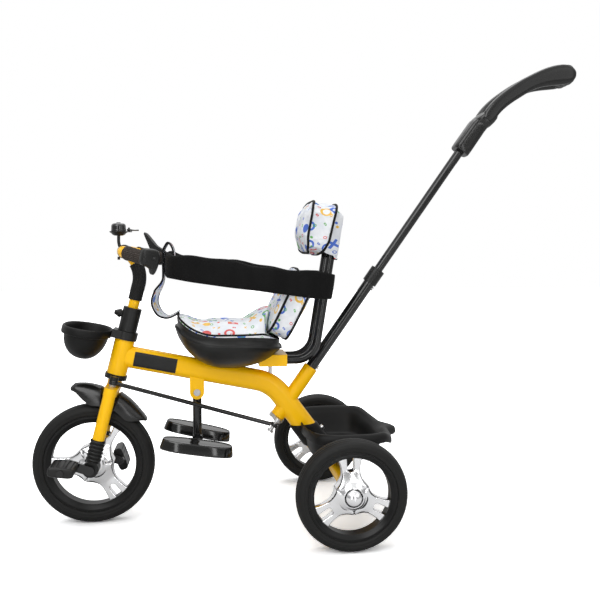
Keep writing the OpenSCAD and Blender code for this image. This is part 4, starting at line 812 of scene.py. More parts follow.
class TRIKE_OT_headrest(bpy.types.Operator):
    """Headrest: a pad whose side band narrows downwards, with a pocket behind it that slips over the posts"""

    bl_idname = "trike.headrest"
    bl_label = "Headrest"

    def execute(self, context):
        k, h, w, power = 37, 108.0, 164.0, 4.6
        m, t = square_disc(k)
        z, y = outline(h / 2, w / 2, power, t)
        z, y = h / 2 + z * m, y * m
        foot = (POST_FOOT[0] + (REST_Z - POST_FOOT[1]) * math.tan(POST_TILT), REST_Z)
        up = lambda p: place(p, foot, POST_TILT)
        # How far back the front and the rear seam lie at each height
        front_x = lambda q: np.interp(q, [-3, 5, 35, 60, 98, 108], [-46, -54, -60, -58.5, -58, -54])
        rear_x = lambda q: np.interp(q, [-3, 10, 29, 68, 108], [-31, -22, -15, -12.5, -8])
        dome = 1 - m**2.6
        front = points(front_x(z) - 9 * dome, y, z)
        back = points(rear_x(z) - 3 * np.minimum(1, 3 * dome), y, z)
        edge = rim_round(k, k)
        sides = []
        for s in (0.2, 0.4, 0.6, 0.8):
            p = front[edge] * (1 - s) + back[edge] * s
            p[:, 1] *= 1 - 0.012 * math.sin(math.pi * s)
            p[:, 2] = h / 2 + (p[:, 2] - h / 2) * (1 - 0.02 * math.sin(math.pi * s))
            sides.append(up(p))

        def held(p):
            """Pins the rear panel."""
            q = unplace(p, foot, POST_TILT)
            return (q[:, 0] > rear_x(q[:, 2]) - 4.5).astype(float)

        flat = points(y, z)
        stuffed("headrest_cover", "headrest_pad", up(front), up(back), sides, flat + 700, flat + 200, held,
                4.0, 7.0, setting("piping"))
        self.pocket(h, w, power, rear_x, up)
        return {"FINISHED"}

    def pocket(self, h, w, power, rear_x, up):
        """A thin sheet behind the pad, sewn on at its sides and bulging over the posts, with a corded hem."""
        s, z = np.meshgrid(np.linspace(-1, 1, 61), np.linspace(-3, 104, 41))
        y = s * (w / 2 - 1.5) * (1 - np.abs(2 * np.clip(z, 2, 104) / h - 1) ** power) ** (1 / power)
        bulge = (1 - smooth(48, 74, np.abs(y))) * (1 - smooth(84, 103, z))
        seam = rear_x(z) + 0.5
        outer = points(seam + (12.2 - seam) * bulge, y, z)
        sheet = np.concatenate([outer, outer - [1.6, 0, 0]])
        far = y.size
        quads, edge = grid_quads(*y.shape), rim_round(*y.shape)
        after = np.roll(edge, -1)
        rim = np.stack([edge, after, after + far, edge + far], -1)
        uv = np.tile(points(y, z).reshape(-1, 2), (2, 1)) + 900
        skin = Skin().add(up(sheet).reshape(-1, 3), [quads, quads[:, ::-1] + far, rim[:, ::-1]], uv)
        skin.tube(up(outer[0][4:-4] - [0.8, 0, 0]), 2.0, 1)
        skin.piece("headrest_pocket", COVER_FINISHES, 60, "frame", "printed_cloth")


class TRIKE_OT_guard_ring(bpy.types.Operator):
    """Guard ring: a soft band in a closed loop round the seat, thin where it passes behind the posts"""

    bl_idname = "trike.guard_ring"
    bl_label = "Guard ring"

    def execute(self, context):
        half_w, half_h, half_t = 105.0, 26.0, 7.0
        x, y = outline((RING_REAR - RING_FRONT) / 2 - half_t, half_w, 3.4, circle(260))
        x = x + (RING_REAR + RING_FRONT) / 2
        p = points(x, y)
        run = run_along(p)[:, None]
        d = unit(np.roll(p, -1, 0) - np.roll(p, 1, 0))
        rear = smooth(0, 32, x)[:, None]
        a = circle(28)
        thick = (half_t - 5.2 * rear) * spow(np.sin(a), 0.75)
        ripple = setting("ring_wave") * (np.sin(run / 31.0) + 0.6 * np.sin(run / 13.0 + 1.0))
        out = thick + 1.2 * np.sin(run / 23.0) * (1 - rear)
        pz = ring_height(x)[:, None] + half_h * spow(np.cos(a), 0.5) + ripple * np.cos(a) + 0.8 * ripple
        behind = POST_FOOT[0] + (pz - POST_FOOT[1]) * math.tan(POST_TILT) + POST_R + 3.0
        px = x[:, None] + d[:, 1:] * out + rear * (behind - x[:, None])
        rings = points(px, y[:, None] - d[:, :1] * out, pz)
        skin = Skin().loop(rings, 0, points(run, a * 16))
        skin.piece("guard_ring_band", ["band_cloth"], 80, "frame", "black_cloth", "guard_ring")
        return {"FINISHED"}


class TRIKE_OT_crotch_strap(bpy.types.Operator):
    """Crotch strap: a flat padded strap from the tub's lip up and over the ring, with corded edges"""

    bl_idname = "trike.crotch_strap"
    bl_label = "Crotch strap"

    def execute(self, context):
        half_w = 27.0
        lip_x, lip_z = SEAT_X - TUB_L / 2 - 2.6, TUB_Z + TUB_FRONT - 6
        top, outer, inner = ring_height(RING_FRONT), RING_FRONT - 3.2, RING_FRONT + 17.2
        # From the tub's lip it hangs free, then goes over the ring
        free = [(13, 17), (3, 10), (-12, 5), (-28, 13), (-38, 35), (-33, 58)]
        over = [(outer - 3.5, -37), (outer - 0.5, -22), (outer - 0.5, 24), (outer + 4, 38),
                ((outer + inner) / 2, 45), (inner - 3, 37), (inner + 0.5, 22), (inner, -13)]
        p = spline([(lip_x + x, lip_z + z) for x, z in free] + [(x, top + z) for x, z in over], 150)
        d = unit(np.gradient(p, axis=0))
        run = run_along(p)
        twist = 0.17 * smooth(14, 45, run) * (1 - smooth(95, 128, run))
        a = circle(32)
        y = half_w * spow(np.cos(a), 0.45)
        thick = 2.0 * spow(np.sin(a), 0.8) + 0.5 * np.sin(run / 9.0)[:, None]
        x = p[:, :1] - d[:, 1:] * thick + twist[:, None] * y
        rings = points(x, y, p[:, 1:] + d[:, :1] * thick)
        skin = Skin().shell(rings, 0, points(y + 1500, run[:, None]))
        for edge in (-half_w - 0.5, half_w + 0.5):
            skin.tube(points(p[:, 0] + twist * edge, edge, p[:, 1]), 2.0, 1)
        skin.piece("crotch_strap_cover", COVER_FINISHES, 60, "frame", "printed_cloth", "crotch_strap")
        return {"FINISHED"}


# Wheels

# The tyre's diameter, width and seat, the rim's opening, half the hub's length and the first spoke's angle
Wheel = namedtuple("Wheel", "tyre spokes body hub tyre_d tyre_w seat_d opening hub_half first_spoke")
WHEELS = [Wheel("front_tyre", "front_spokes", "front_wheel", HUB, 250.0, 44.0, 200.0, 172.0, 25.5, 66.0)] + [
    Wheel("rear_tyre_" + side, "rear_spokes_" + side, "rear_wheel_" + side, joint_place("rear_spin_" + side),
          214.0, 46.0, 170.0, 146.0, 23.0, 93.5)
    for side in SIDES
]


class TRIKE_OT_tyres(bpy.types.Operator):
    """Tyres: bead, bulging side and crowned tread turned about the axle, with grooves and pips"""

    bl_idname = "trike.tyres"
    bl_label = "Tyres"

    def execute(self, context):
        n, groove, pip, pitch = 288, 1.1, 0.8, 12
        bump = lambda v, width: np.exp(-((v / width) ** 2))
        for wheel in WHEELS:
            big, low, h = wheel.tyre_d / 2, wheel.seat_d / 2 + 0.05, wheel.tyre_w / 2
            deep = big - low
            profile = [(low, h * 0.8), (low + 2, h * 0.93), (low + deep * 0.34, h),
                       (low + deep * 0.62, h * 0.955), (big - 3.4, h * 0.72), (big - 0.9, h * 0.36),
                       (big, 0)]
            half = spline(profile, 36)
            bead = points(low, np.array([-0.4, 0, 0.4]) * h)
            r, y = np.vstack([half, (half * [1, -1])[-2::-1], bead]).T
            side = bump(r - low - deep * 0.3, 0.9) + 0.7 * bump(r - low - deep * 0.62, 0.8)
            y = y - np.sign(y) * 0.8 * side * (np.abs(y) > h * 0.5)
            r = r - sum(groove * bump(np.abs(y) - k * h, 0.8) for k in (0.2, 0.52)) * (r > big - 4)
            col, row = np.arange(n)[:, None], np.arange(len(r))
            high = (col % pitch == 0) & (row % 46 == 23)
            stand = high * pip + ((col % pitch == pitch // 2) & (row % 43 == 27)) * pip
            rings = round_axle(r + stand, circle(n)[:, None], y + 0.8 * stand * np.sign(y), wheel.hub)
            name = wheel.tyre + "_moulding"
            Skin().loop(rings).piece(name, ["soft_tyre_rubber"], 50, wheel.body, "tyre_rubber", wheel.tyre)
        return {"FINISHED"}


class TRIKE_OT_spokes(bpy.types.Operator):
    """Spokes: three arms of two prongs each, superellipses carried out along concave edges"""

    bl_idname = "trike.spokes"
    bl_label = "Spokes"

    def execute(self, context):
        cx, cy = outline(1, 1, 5.5, circle(32))
        for wheel in WHEELS:
            end, hub_half, slot = wheel.opening / 2 - 0.1, wheel.hub_half, 6.5
            mid, fork = end * 0.6, end - 27

            def edge(r):
                """Half the width of an arm at the radius r."""
                near, far = 0.02 * (r - mid) ** 2, 5.0 * ((r - mid) / (end - mid)) ** 2
                return np.minimum(18.0 + np.where(r < mid, near, far), r * 1.72)

            inner = np.linspace(10, fork, 30)
            outer = np.concatenate([np.linspace(fork - 3, fork, 3)[:-1],
                                    np.linspace(fork, fork + slot, 9)[:-1],
                                    np.linspace(fork + slot, end, 16)])
            round_end = np.clip(slot**2 - np.clip(fork + slot - outer, 0, slot) ** 2, 0.36, None)
            gap = np.where(outer < fork, 0.6, np.sqrt(round_end))
            strips = [(inner, -edge(inner), edge(inner)), (outer, gap, edge(outer)),
                      (outer, -edge(outer), -gap)]
            skin = Skin()
            for turn in np.radians(wheel.first_spoke + 120 * np.arange(3)):
                for r, t0, t1 in strips:
                    t = ((t0 + t1) / 2)[:, None] + ((t1 - t0) / 2)[:, None] * cx
                    r, side = r[:, None], edge(r)[:, None]
                    lip = smooth(side - 5, side - 2, np.abs(t)) * smooth(24, 40, r)
                    roof = (1 - np.abs(t) / side) * smooth(26, 44, r)
                    high = 9.4 + (hub_half - 11.5) * (1 - smooth(14, 50, r))
                    y = (high + 0.8 * lip + 2.4 * roof - 1.2) * cy
                    away = r - (end - np.sqrt(end**2 - t**2)) * smooth(end * 0.6, end, r)
                    x = away * math.cos(turn) - t * math.sin(turn)
                    z = away * math.sin(turn) + t * math.cos(turn)
                    skin.shell(wheel.hub + points(x, y, z))
            ring = np.array([(5.3, 0.2), (18.5, 0), (19.8, -0.5), (21, -1.8), (23.5, -3.4), (28, -6.2),
                             (33, -hub_half * 0.5)]) + [0, hub_half]
            boss = np.vstack([ring, (ring * [1, -1])[::-1]])
            skin.shell(round_axle(boss[:, :1], circle(64), boss[:, 1:], wheel.hub))
            name = wheel.spokes + "_plated"
            skin.piece(name, ["bright_chrome"], 38, wheel.body, "chrome_plate", wheel.spokes)
        return {"FINISHED"}


# Mouldings


class TRIKE_OT_mudguard(bpy.types.Operator):
    """Mudguard: an arch over the tyre whose ridge, drop and half width vary with the angle about the axle"""

    bl_idname = "trike.mudguard"
    bl_label = "Mudguard"

    def execute(self, context):
        deg = np.linspace(106, 38.5, 180)
        wall = 2.4

        def along(rows, n):
            """Heights between rows of angle and height, averaged over n steps."""
            angle, height = np.array(rows).T
            weight = np.hanning(n + 2)[1:-1]
            line = np.interp(-deg, -angle, height)
            return np.convolve(np.pad(line, n // 2, "edge"), weight / weight.sum(), "valid")[:, None]

        ridge = along([(107, 162), (105.4, 167), (102.2, 172), (94.8, 168.9), (87.9, 164.6), (82.9, 161.2),
                       (82, 158.5), (81.1, 151.2), (70.2, 151.2), (69.3, 156.5), (68.3, 158), (66.4, 156.6),
                       (61.8, 153.8), (56.6, 150.6), (50.8, 146.9), (45.8, 145), (40.2, 142.8), (38, 141)], 3)
        drop = along([(106, 1.5), (104.5, 9), (101, 24), (97, 36), (91, 44), (83, 36), (65, 36), (54, 36),
                      (47, 26), (42.5, 12), (38.5, 1.5)], 35)
        half = 29.3 * (1 - np.abs(np.clip((deg - 72.25) / 34.2, -1, 1)) ** 3.2)[:, None] ** 0.42
        t = np.radians(np.linspace(-90, 90, 33))
        s, fall = spow(np.sin(t), 0.85), 1 - spow(np.cos(t), 0.8)
        turn = np.radians(deg)[:, None]
        outer = round_axle(ridge - drop * fall, turn, half * s, HUB)
        inner = round_axle(ridge - wall - np.maximum(drop - wall, 0.2) * fall * 0.99, turn,
                           np.maximum(half - wall, 0.2) * s, HUB)
        skin = Skin().shell(np.concatenate([outer, inner[:, ::-1]], 1))
        skin.piece("mudguard_moulding", ["smooth_moulding"], 50, "steering", "black_plastic", "mudguard")
        return {"FINISHED"}


class TRIKE_OT_front_basket(bpy.types.Operator):
    """Front basket: an oval bowl that falls as a cosine, with a broad lip rolled outwards"""

    bl_idname = "trike.front_basket"
    bl_label = "Front basket"

    def execute(self, context):
        half_l, half_w, mid_x, rim_z, slope = 50.0, 75.5, -78.3, 272.8, 0.072
        flat_x = -28.1  # Flat rear, where the ring holds it
        t = circle(120)
        v = np.radians(np.linspace(4, 84, 20))
        # Share of the plan and height of each level
        bowl = lambda wide, deep, k: (wide * math.sin(k) ** 0.9, -15 - deep * math.cos(k) ** 1.05)
        lip = [(0.885, -14.5), (0.94, -14.8), (0.985, -13.8), (0.998, -11), (1.0, -7), (1.0, -2),
               (0.985, 0.8), (0.955, 2), (0.92, 1.4), (0.895, -1), (0.875, -5)]
        rows = [bowl(0.87, 51, k) for k in v] + lip + [bowl(0.835, 47.6, k) for k in v[::-1]]
        rings = []
        for k, z in rows:
            x, y = outline(half_l * k, half_w * k, 2.25, t)
            x = x + 5 * (1 - k)
            rings.append(points(np.minimum(mid_x + x, flat_x), y, rim_z + z + x * slope))
        skin = Skin().shell(carry(np.array(rings), HEAD))
        skin.piece("front_basket_bowl", ["basket_black"], 45, "steering", "black_plastic", "front_basket")
        return {"FINISHED"}


class TRIKE_OT_rear_basket(bpy.types.Operator):
    """Rear basket: a tapered bowl with a rolled rim drawn out to a lip behind, and a saddle over the tube"""

    bl_idname = "trike.rear_basket"
    bl_label = "Rear basket"

    def execute(self, context):
        half_l, half_w, power, n = 85, 137, 3.4, 200
        mid_x, lip_out, tube_h, tube_w = 66, 26, 23, 17.5
        fine = np.linspace(0, 2 * np.pi, 6001)
        run = run_along(points(*outline(half_l, half_w, power, fine)))
        t = np.interp(np.arange(n) / n * run[-1], run, fine)
        c = np.cos(t)
        lip = (1 - smooth(0, 36, np.abs(outline(half_l, half_w, power, t)[1]))) * (c > 0)
        front = smooth(0.45, 0.95, -c) * (c < 0)
        dip = 13 * smooth(0.55, 1.0, c)
        # Outside, rim and inside: how far each level is set out, its height, slide, lip and dip behind
        rows = [
            (-84, 140, 10, 0, 0), (-60, 140, 10, 0, 0), (-34, 140, 9, 0, 0.05), (-27, 141.5, 8, 0, 0.1),
            (-22, 146.5, 7, 0, 0.2), (-15.5, 166, 4, 0, 0.5), (-8, 184, 1, 0, 0.9), (-1, 188.5, 0, 0, 1),
            (6, 184.5, 0, 10, 1), (10.5, 181.5, 0, 18, 1), (12.6, 182, 0, 24, 1), (13.2, 185.5, 0, 25.5, 1),
            (13, 191, 0, 26, 1), (11.4, 197, 0, 25, 1), (8, 200.5, 0, 21, 1), (4, 201.6, 0, 13, 1),
            (0, 200, 0, 5, 1), (-2.6, 195, 0, 1, 1), (-7, 190.5, 0.5, 0, 0.95), (-11.5, 183, 1, 0, 0.85),
            (-18.5, 166, 4, 0, 0.5), (-25, 148, 7, 0, 0.2), (-30, 143.6, 8, 0, 0.1), (-36, 142.6, 9, 0, 0.05),
            (-60, 142.6, 10, 0, 0), (-83, 142.6, 10, 0, 0),
        ]
        rings = []
        for grow, z, slide, beak, fall in rows:
            x, y = outline(half_l + grow, half_w + grow, power, t)
            x = mid_x + slide + x + front * grow * 0.75 + beak * lip
            rings.append(points(x, y, z - dip * fall - 2.0 * beak / lip_out * lip))
        skin = Skin().shell(rings)
        # The main tube behind its bend: its place and the directions along it and upwards across it
        bend = [-62.96, 0, 258.587]
        down, up = np.array([0.59492, 0, -0.80379]), np.array([0.80379, 0, 0.59492])
        # How far along the tube, how far the saddle stands off it, and the lean of that section
        sections = [(80, 0.4, 14), (80.3, 2.6, 14), (81.5, 3.3, 14), (86, 3.5, 14), (112, 3.5, 18),
                    (140, 3.4, 23), (142, 2.4, 23), (142.4, 0.4, 23)]
        ax, ay = (q[:, None] for q in outline(1, 1, 2.5, circle(56)))
        saddle = []
        for far, grow, lean in sections:
            at = bend + (far + lean * ax) * down
            saddle.append(at + ax * (tube_h + grow) * up + ay * (tube_w + grow) * SIDEWAYS)
        skin.shell(saddle)
        skin.piece("rear_basket_bowl", ["basket_black"], 45, "frame", "black_plastic", "rear_basket")
        return {"FINISHED"}


class TRIKE_OT_pedals(bpy.types.Operator):
    """Pedals: a rounded oblong carried across the trike, with treads cut along it as steps of a cosine"""

    bl_idname = "trike.pedals"
    bl_label = "Pedals"

    def execute(self, context):
        half_l, half_h, pitch, deep = 24.6, 10, 9.6, 1.9
        x, z = outline(1, 1, 4.2, circle(240))
        # Place across the trike, inset, and whether the treads are cut there
        rows = [(31, 4.5, 0), (30.7, 2.4, 0), (29.6, 0.8, 0), (28, 0, 0), (26.4, 0, 0), (26, 0, 1), (0, 0, 1)]
        rows += [(-y, inset, cut) for y, inset, cut in rows[-2::-1]]
        rings = []
        for y, inset, cut in rows:
            px, pz = (half_l - inset) * x, (half_h - inset) * z
            tread = deep * cut * smooth(0.1, 0.5, np.cos(2 * np.pi * px / pitch)) * (np.abs(px) < 20)
            rings.append(points(px, y, pz - np.sign(pz) * np.minimum(tread, np.abs(pz))))
        for side, tilt in zip(SIDES, (8.0, 70.0)):
            node = "pedal_" + side
            mid = np.mean(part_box(node), axis=0) / MM
            skin = Skin().shell(place(np.array(rings), mid[[0, 2]], math.radians(tilt)) + SIDEWAYS * mid[1])
            skin.piece(node + "_moulding", ["moulded_black"], 38, node, "black_plastic", node)
        return {"FINISHED"}


class TRIKE_OT_foot_pads(bpy.types.Operator):
    """Foot pads: a superellipse plate with a skirt that flares downwards and a raised edge round its top"""

    bl_idname = "trike.foot_pads"
    bl_label = "Foot pads"

    def execute(self, context):
        t = circle(128)
        half_l, half_w, post = 74, 30, 100
        pivot = joint_place("footrest_fold")
        # Inset and height of each level, from the underside round the skirt to the top
        rows = [(28, -7), (3, -7), (1.5, -8), (0.75, -10.4), (0.25, -10.8), (0, -10), (0.1, -8), (1.5, 0),
                (2.9, 7), (3.6, 9.2), (4.7, 10.2), (5.9, 10.0), (6.6, 9.0), (7.3, 8.6), (16, 8.8), (28, 9)]
        for side, across, tilt in zip(SIDES, (-73.0, 73.0), (9.0, 13.0)):
            rings = []
            for inset, z in rows:
                x, y = outline(half_l - inset, half_w - inset, 2.7, t)
                rings.append(points(x, across + y, z))
            skin = Skin().shell(place(np.array(rings), (pivot[0], pivot[2] - post), math.radians(tilt)))
            node = "foot_pad_" + side
            skin.piece(node + "_moulding", ["pad_gloss"], 42, "footrest", "black_plastic", node)
        return {"FINISHED"}


class TRIKE_OT_handle_grip(bpy.types.Operator):
    """Push grip: a clamp on the tube, two bent arms that thicken outwards and a ridged bar between them"""

    bl_idname = "trike.handle_grip"
    bl_label = "Push grip"

    def execute(self, context):
        a = circle(40)
        bend_r, straight, root_x, root_z = 215, 15, 10, 740
        arm_y, arm_l, bar_at, bar_x, bar_z = 24.0, 215, 212, 20.6, 17.5
        skin = Skin()
        # Clamp: rounded oblongs along the tube (height, half depth, half width, middle, exponent)
        rings = []
        for z, hx, hy, mid, n in (
            (656, 15.5, 17, 0, 3), (656.5, 17.5, 20, 0, 3.2), (659, 18.6, 21.4, 0, 3.4),
            (668, 18.8, 21.8, 0, 3.6), (720, 18.2, 22.6, 0, 3.6), (727, 18.0, 24, 0.5, 3.6),
            (729, 17.2, 24.5, 1, 3.6), (731, 17.4, 26, 1.5, 3.6), (736, 18.0, 29, 3, 3.6),
            (746, 17.4, 31.5, 5.5, 3.8), (756, 15.6, 31.5, 8, 3.6), (762, 12.0, 30, 10, 3.2),
            (764.5, 7, 28, 10.5, 3),
        ):
            x, y = outline(hx, hy, n, a)
            rings.append(points(mid + x, y, z))
        skin.shell(carry(np.array(rings), POLE))
        # Arms: the tube's line, then an arc, with a section that deepens to a rounded end
        tip = 15 * np.sin(np.linspace(0, np.pi / 2, 9)[1:])
        s = np.concatenate([np.linspace(0, arm_l, 60), arm_l + tip])[:, None]
        turn = np.clip((s - straight) / bend_r, 0, None)
        round_off = lambda start, run: np.sqrt(np.clip(1 - (np.maximum(s - start, 0) / run) ** 2, 0, None))
        px = root_x + bend_r * (1 - np.cos(turn)) - 5.5 * (1 - smooth(20, 100, s))
        pz = root_z + np.where(s < straight, s, straight + bend_r * np.sin(turn))
        deep = 14.6 + smooth(20, 110, s) + 5.6 * smooth(120, 195, s) - 3.5 * (1 - smooth(0, 12, s))
        wide = (8.7 + 1.2 * smooth(120, 195, s)) * round_off(205, 27)
        ax, ay = outline(1, 1, 2.7, a)
        depth = deep * round_off(200, 31.5) * ax
        for y in (-arm_y, arm_y):
            rings = points(px + depth * np.cos(turn), y + wide * ay, pz - depth * np.sin(turn))
            skin.shell(carry(rings, POLE))
        # Cross bar: an oblong section carried from arm to arm, with finger ridges under it
        y = np.linspace(-arm_y, arm_y, 49)[:, None]
        lean = (bar_at - straight) / bend_r
        ox, oz = outline(1, 1, 2.3, a)
        depth = bar_x * np.where(ox > 0, 1.0 + 0.05 * np.cos(y * 2 * np.pi / 16), 1.0) * ox
        x = root_x + bend_r * (1 - math.cos(lean)) + depth * math.cos(lean) + bar_z * oz * math.sin(lean)
        z = root_z + straight + bend_r * math.sin(lean) - depth * math.sin(lean) + bar_z * oz * math.cos(lean)
        skin.shell(carry(points(x, y, z), POLE))
        skin.piece("handle_grip_moulding", ["smooth_moulding"], 45, "push_upper", "black_plastic",
                   "handle_grip")
        return {"FINISHED"}


# Handlebar, in the steering head's own frame
BAR_X, BAR_Z, BAR_HALF, BEND_R, SWEEP = -38.2857, 443.704, 80, 40.0, math.radians(38)
BELL_FOOT = carry(np.array([BAR_X, -58.0, BAR_Z]), HEAD)
BELL_X, LEVER_X, BELL_LOW = -10.5, 9.5, 40.9


def bar_end_place(local, side):
    """Puts points of one grip's frame (X back, Y down, Z outwards along the grip) into the part's frame."""
    c, s = math.cos(SWEEP), math.sin(SWEEP)
    x, y, z = local[..., 0], local[..., 1], local[..., 2]
    across = BAR_HALF + BEND_R * s - x * s + z * c
    across = -across if side == "left" else across
    return carry(points(BAR_X + BEND_R * (1 - c) + x * c + z * s, across, BAR_Z - y), HEAD)


class TRIKE_OT_hand_guards(bpy.types.Operator):
    """Hand guards: a smooth outline carried along the grip's axis, with a domed outer face and a screw"""

    bl_idname = "trike.hand_guards"
    bl_label = "Hand guards"

    def execute(self, context):
        grip_end, fine = 75.4, 24
        # Outlines round the grip's axis
        near = [(-17, -16), (-4, -20), (11, -20), (18, -12), (20, 2), (19, 15), (16, 25), (12, 25.5), (6, 17),
                (-4, 14), (-15, 11), (-19, 0)]
        far = [(16, -6), (14, 8), (4, 16), (-8, 14.5), (-17, 6), (-28, -8), (-44, -25), (-60, -41),
               (-63, -45), (-59, -48), (-42, -39), (-20, -27), (2, -21), (13, -16)]
        # Share of the outline and height above the grip's end
        rows = [(0.80, 0), (0.96, 0), (1.0, 1.2), (1.0, 7), (0.985, 9.5), (0.93, 12), (0.84, 13.4),
                (0.60, 14.4), (0.2, 14.8)]
        screw = [(3.0, 88), (3.0, 90.6), (2.6, 91.2), (1.7, 91.1), (1.5, 90.3), (0.3, 90.2)]
        for side, plan in zip(SIDES, (near, far)):
            p = plan[-2:] + plan + plan[:3]
            x, y = spline(p, fine * (len(p) - 1) + 1)[2 * fine : -2 * fine][:-1:2].T
            rings = np.array([points(x * k, y * k, grip_end + z) for k, z in rows])
            skin = Skin().shell(bar_end_place(rings, side))
            # The screw takes the darker, glossier black: partly its own finish, partly painted shade for the
            # hole it stands in
            skin.shell(bar_end_place(turned(screw, 4, -4, 20), side), 1)
            node = "hand_guard_" + side
            finishes = ["moulded_black", "polished_black"]
            skin.piece(node + "_moulding", finishes, 42, "handlebar", "black_plastic", node)
        return {"FINISHED"}


class TRIKE_OT_grips(bpy.types.Operator):
    """Grips: a sleeve with ribs along it, as a cosine of the angle about the bar, and a collar at each end"""

    bl_idname = "trike.grips"
    bl_label = "Grips"

    def execute(self, context):
        a = circle(144)
        collar_z, collar_r = np.array([0, 0.6, 3.4, 4.4]), np.array([12.4, 14.0, 14.2, 13.2])
        z = np.concatenate([collar_z, np.linspace(5.2, 64.8, 12), [65.6, 66.6, 69.4, 70]])[:, None]
        body = np.concatenate([collar_r, np.full(12, 12.9), collar_r[::-1]])[:, None]
        rib = 0.7 * ((z > 5) & (z < 65))
        r = body + rib * np.cos(24 * a)
        for side in SIDES:
            node = "grip_" + side
            skin = Skin().shell(bar_end_place(points(r * np.cos(a), r * np.sin(a), 5 + z), side))
            skin.piece(node + "_rubber", ["ribbed_grip_rubber"], 60, "handlebar", "grip_rubber", node)
        return {"FINISHED"}


class TRIKE_OT_bell_mount(bpy.types.Operator):
    """Bell mount: a dished plate under the dome, a slim stalk and a band round the bar"""

    bl_idname = "trike.bell_mount"
    bl_label = "Bell mount"

    def execute(self, context):
        n = 48
        # Radius and height
        plate = [(5, 31.5), (8, 31.8), (12, 33.5), (14.4, 36.5), (17.2, 38.2), (18, 39), (17.8, 40.2),
                 (16.5, 40.5), (3, 40.5)]
        pin = [(2, 38.6), (6, 38.6), (6.4, 39.2), (6, 40.4), (2.2, 40.5), (2, 41), (2, 47.2), (1.4, 47.8)]
        skin = Skin().shell(BELL_FOOT + turned(plate, BELL_X, 0, n))
        skin.shell(BELL_FOOT + turned(pin, LEVER_X, 0, n))
        by, bz = outline(1, 1, 4, circle(n))
        skin.shell(BELL_FOOT + points(np.linspace(BELL_X, LEVER_X, 12)[:, None], 6 * by, 39.5 + 0.95 * bz))
        stalk = [(-10.5, 0, 33), (-10.8, 0, 25), (-10.6, 0, 18), (-9, 0, 11), (-6.5, 0, 9.5)]
        skin.tube(BELL_FOOT + spline(stalk, 30), 3.1, sides=16)
        y = np.array([-6.4, -6, -5, 0, 5, 6, 6.4])[:, None]
        r = np.array([11.6, 13.2, 13.8, 13.9, 13.8, 13.2, 11.6])[:, None]
        skin.shell(round_axle(r, circle(n), y, BELL_FOOT))
        skin.tube(BELL_FOOT + np.array([(-11, 0, -10.0), (-11, 0, -13), (-11, 0, -16)]), 2.6, sides=12)
        skin.piece("bell_mount_moulding", ["moulded_black"], 45, "handlebar", "black_plastic", "bell_base")
        return {"FINISHED"}


class TRIKE_OT_bell(bpy.types.Operator):
    """Bell: a profile turned about the dome's axis with a nut on top, and a lever swept to a thumb pad"""

    bl_idname = "trike.bell"
    bl_label = "Bell"

    def execute(self, context):
        n = 64
        foot = BELL_FOOT + [0, 0, BELL_LOW]
        # Radius and height
        dome = [(11.5, 1.2), (13.6, 1.2), (14.2, 0), (15, 0.1), (15.1, 1.2), (14.7, 2.2), (14.5, 4),
                (14.4, 9.5), (13.9, 11.5), (12.9, 13.2), (11.2, 14.5), (9, 15.1), (4.4, 15.5), (4.2, 16.6),
                (3.4, 17.1), (0.4, 17.2)]
        skin = Skin().shell(foot + turned(dome, BELL_X, 0, n))
        skin.piece("bell_dome_turned", ["polished_black"], 50, "handlebar", "black_plastic", "bell_dome")
        swing = math.radians(-20)
        c, s = math.cos(swing), math.sin(swing)
        out = np.concatenate([[-4, -3.9, -3.4], np.linspace(-2, 18, 14), [19.6, 20.7, 21]])[:, None]
        half = np.interp(out, [-4, -3.9, -3.4, -2, 2, 8, 14, 18, 19.6, 20.7, 21],
                         [0.4, 1.2, 2.4, 3.6, 4, 3, 3.2, 3, 2.5, 1.2, 0.2])
        high = np.interp(out, [-4, 2, 8, 14, 18, 21], [4, 4, 2.8, 2.2, 2.6, 2.6])
        ox, oz = outline(1, 1, 3.2, circle(n))
        across = half * ox
        rings = points(LEVER_X + out * c - across * s, out * s + across * c, 0.05 + high * (oz + 1) / 2)
        skin = Skin().shell(foot + rings)
        skin.piece("bell_lever_moulding", ["moulded_black"], 50, "bell_lever", "black_plastic", "bell_lever")
        return {"FINISHED"}


# Stage

WHITE = (1, 1, 1, 1)
CAMERA_AT, AZIMUTH, ELEVATION = (-0.21976, -1.573, 0.566), math.radians(-7.19), math.radians(3.79)
SENSOR, LENS = 36.0, 44.64
# Name, place, aim, shape, width, height and power
LAMPS = (
    ("key", (-1.3, -2.2, 2.6), (-0.1, 0, 0.35), "DISK", 2.2, 2.2, 38.0),
    ("fill", (1.9, -2.0, 1.5), (0.0, 0, 0.4), "DISK", 2.0, 2.0, 7.0),
    ("top", (0.0, 0.6, 3.0), (0.0, 0, 0.2), "DISK", 2.6, 2.6, 40.0),
    ("strip_left", (-0.95, -2.05, 0.6), (-0.3, 0, 0.3), "RECTANGLE", 0.22, 1.5, 5.0),
    ("strip_right", (0.45, -2.05, 0.6), (-0.1, 0, 0.3), "RECTANGLE", 0.22, 1.5, 5.0),
)


def grey(v):
    """A grey of the given brightness."""
    return (v, v, v, 1)


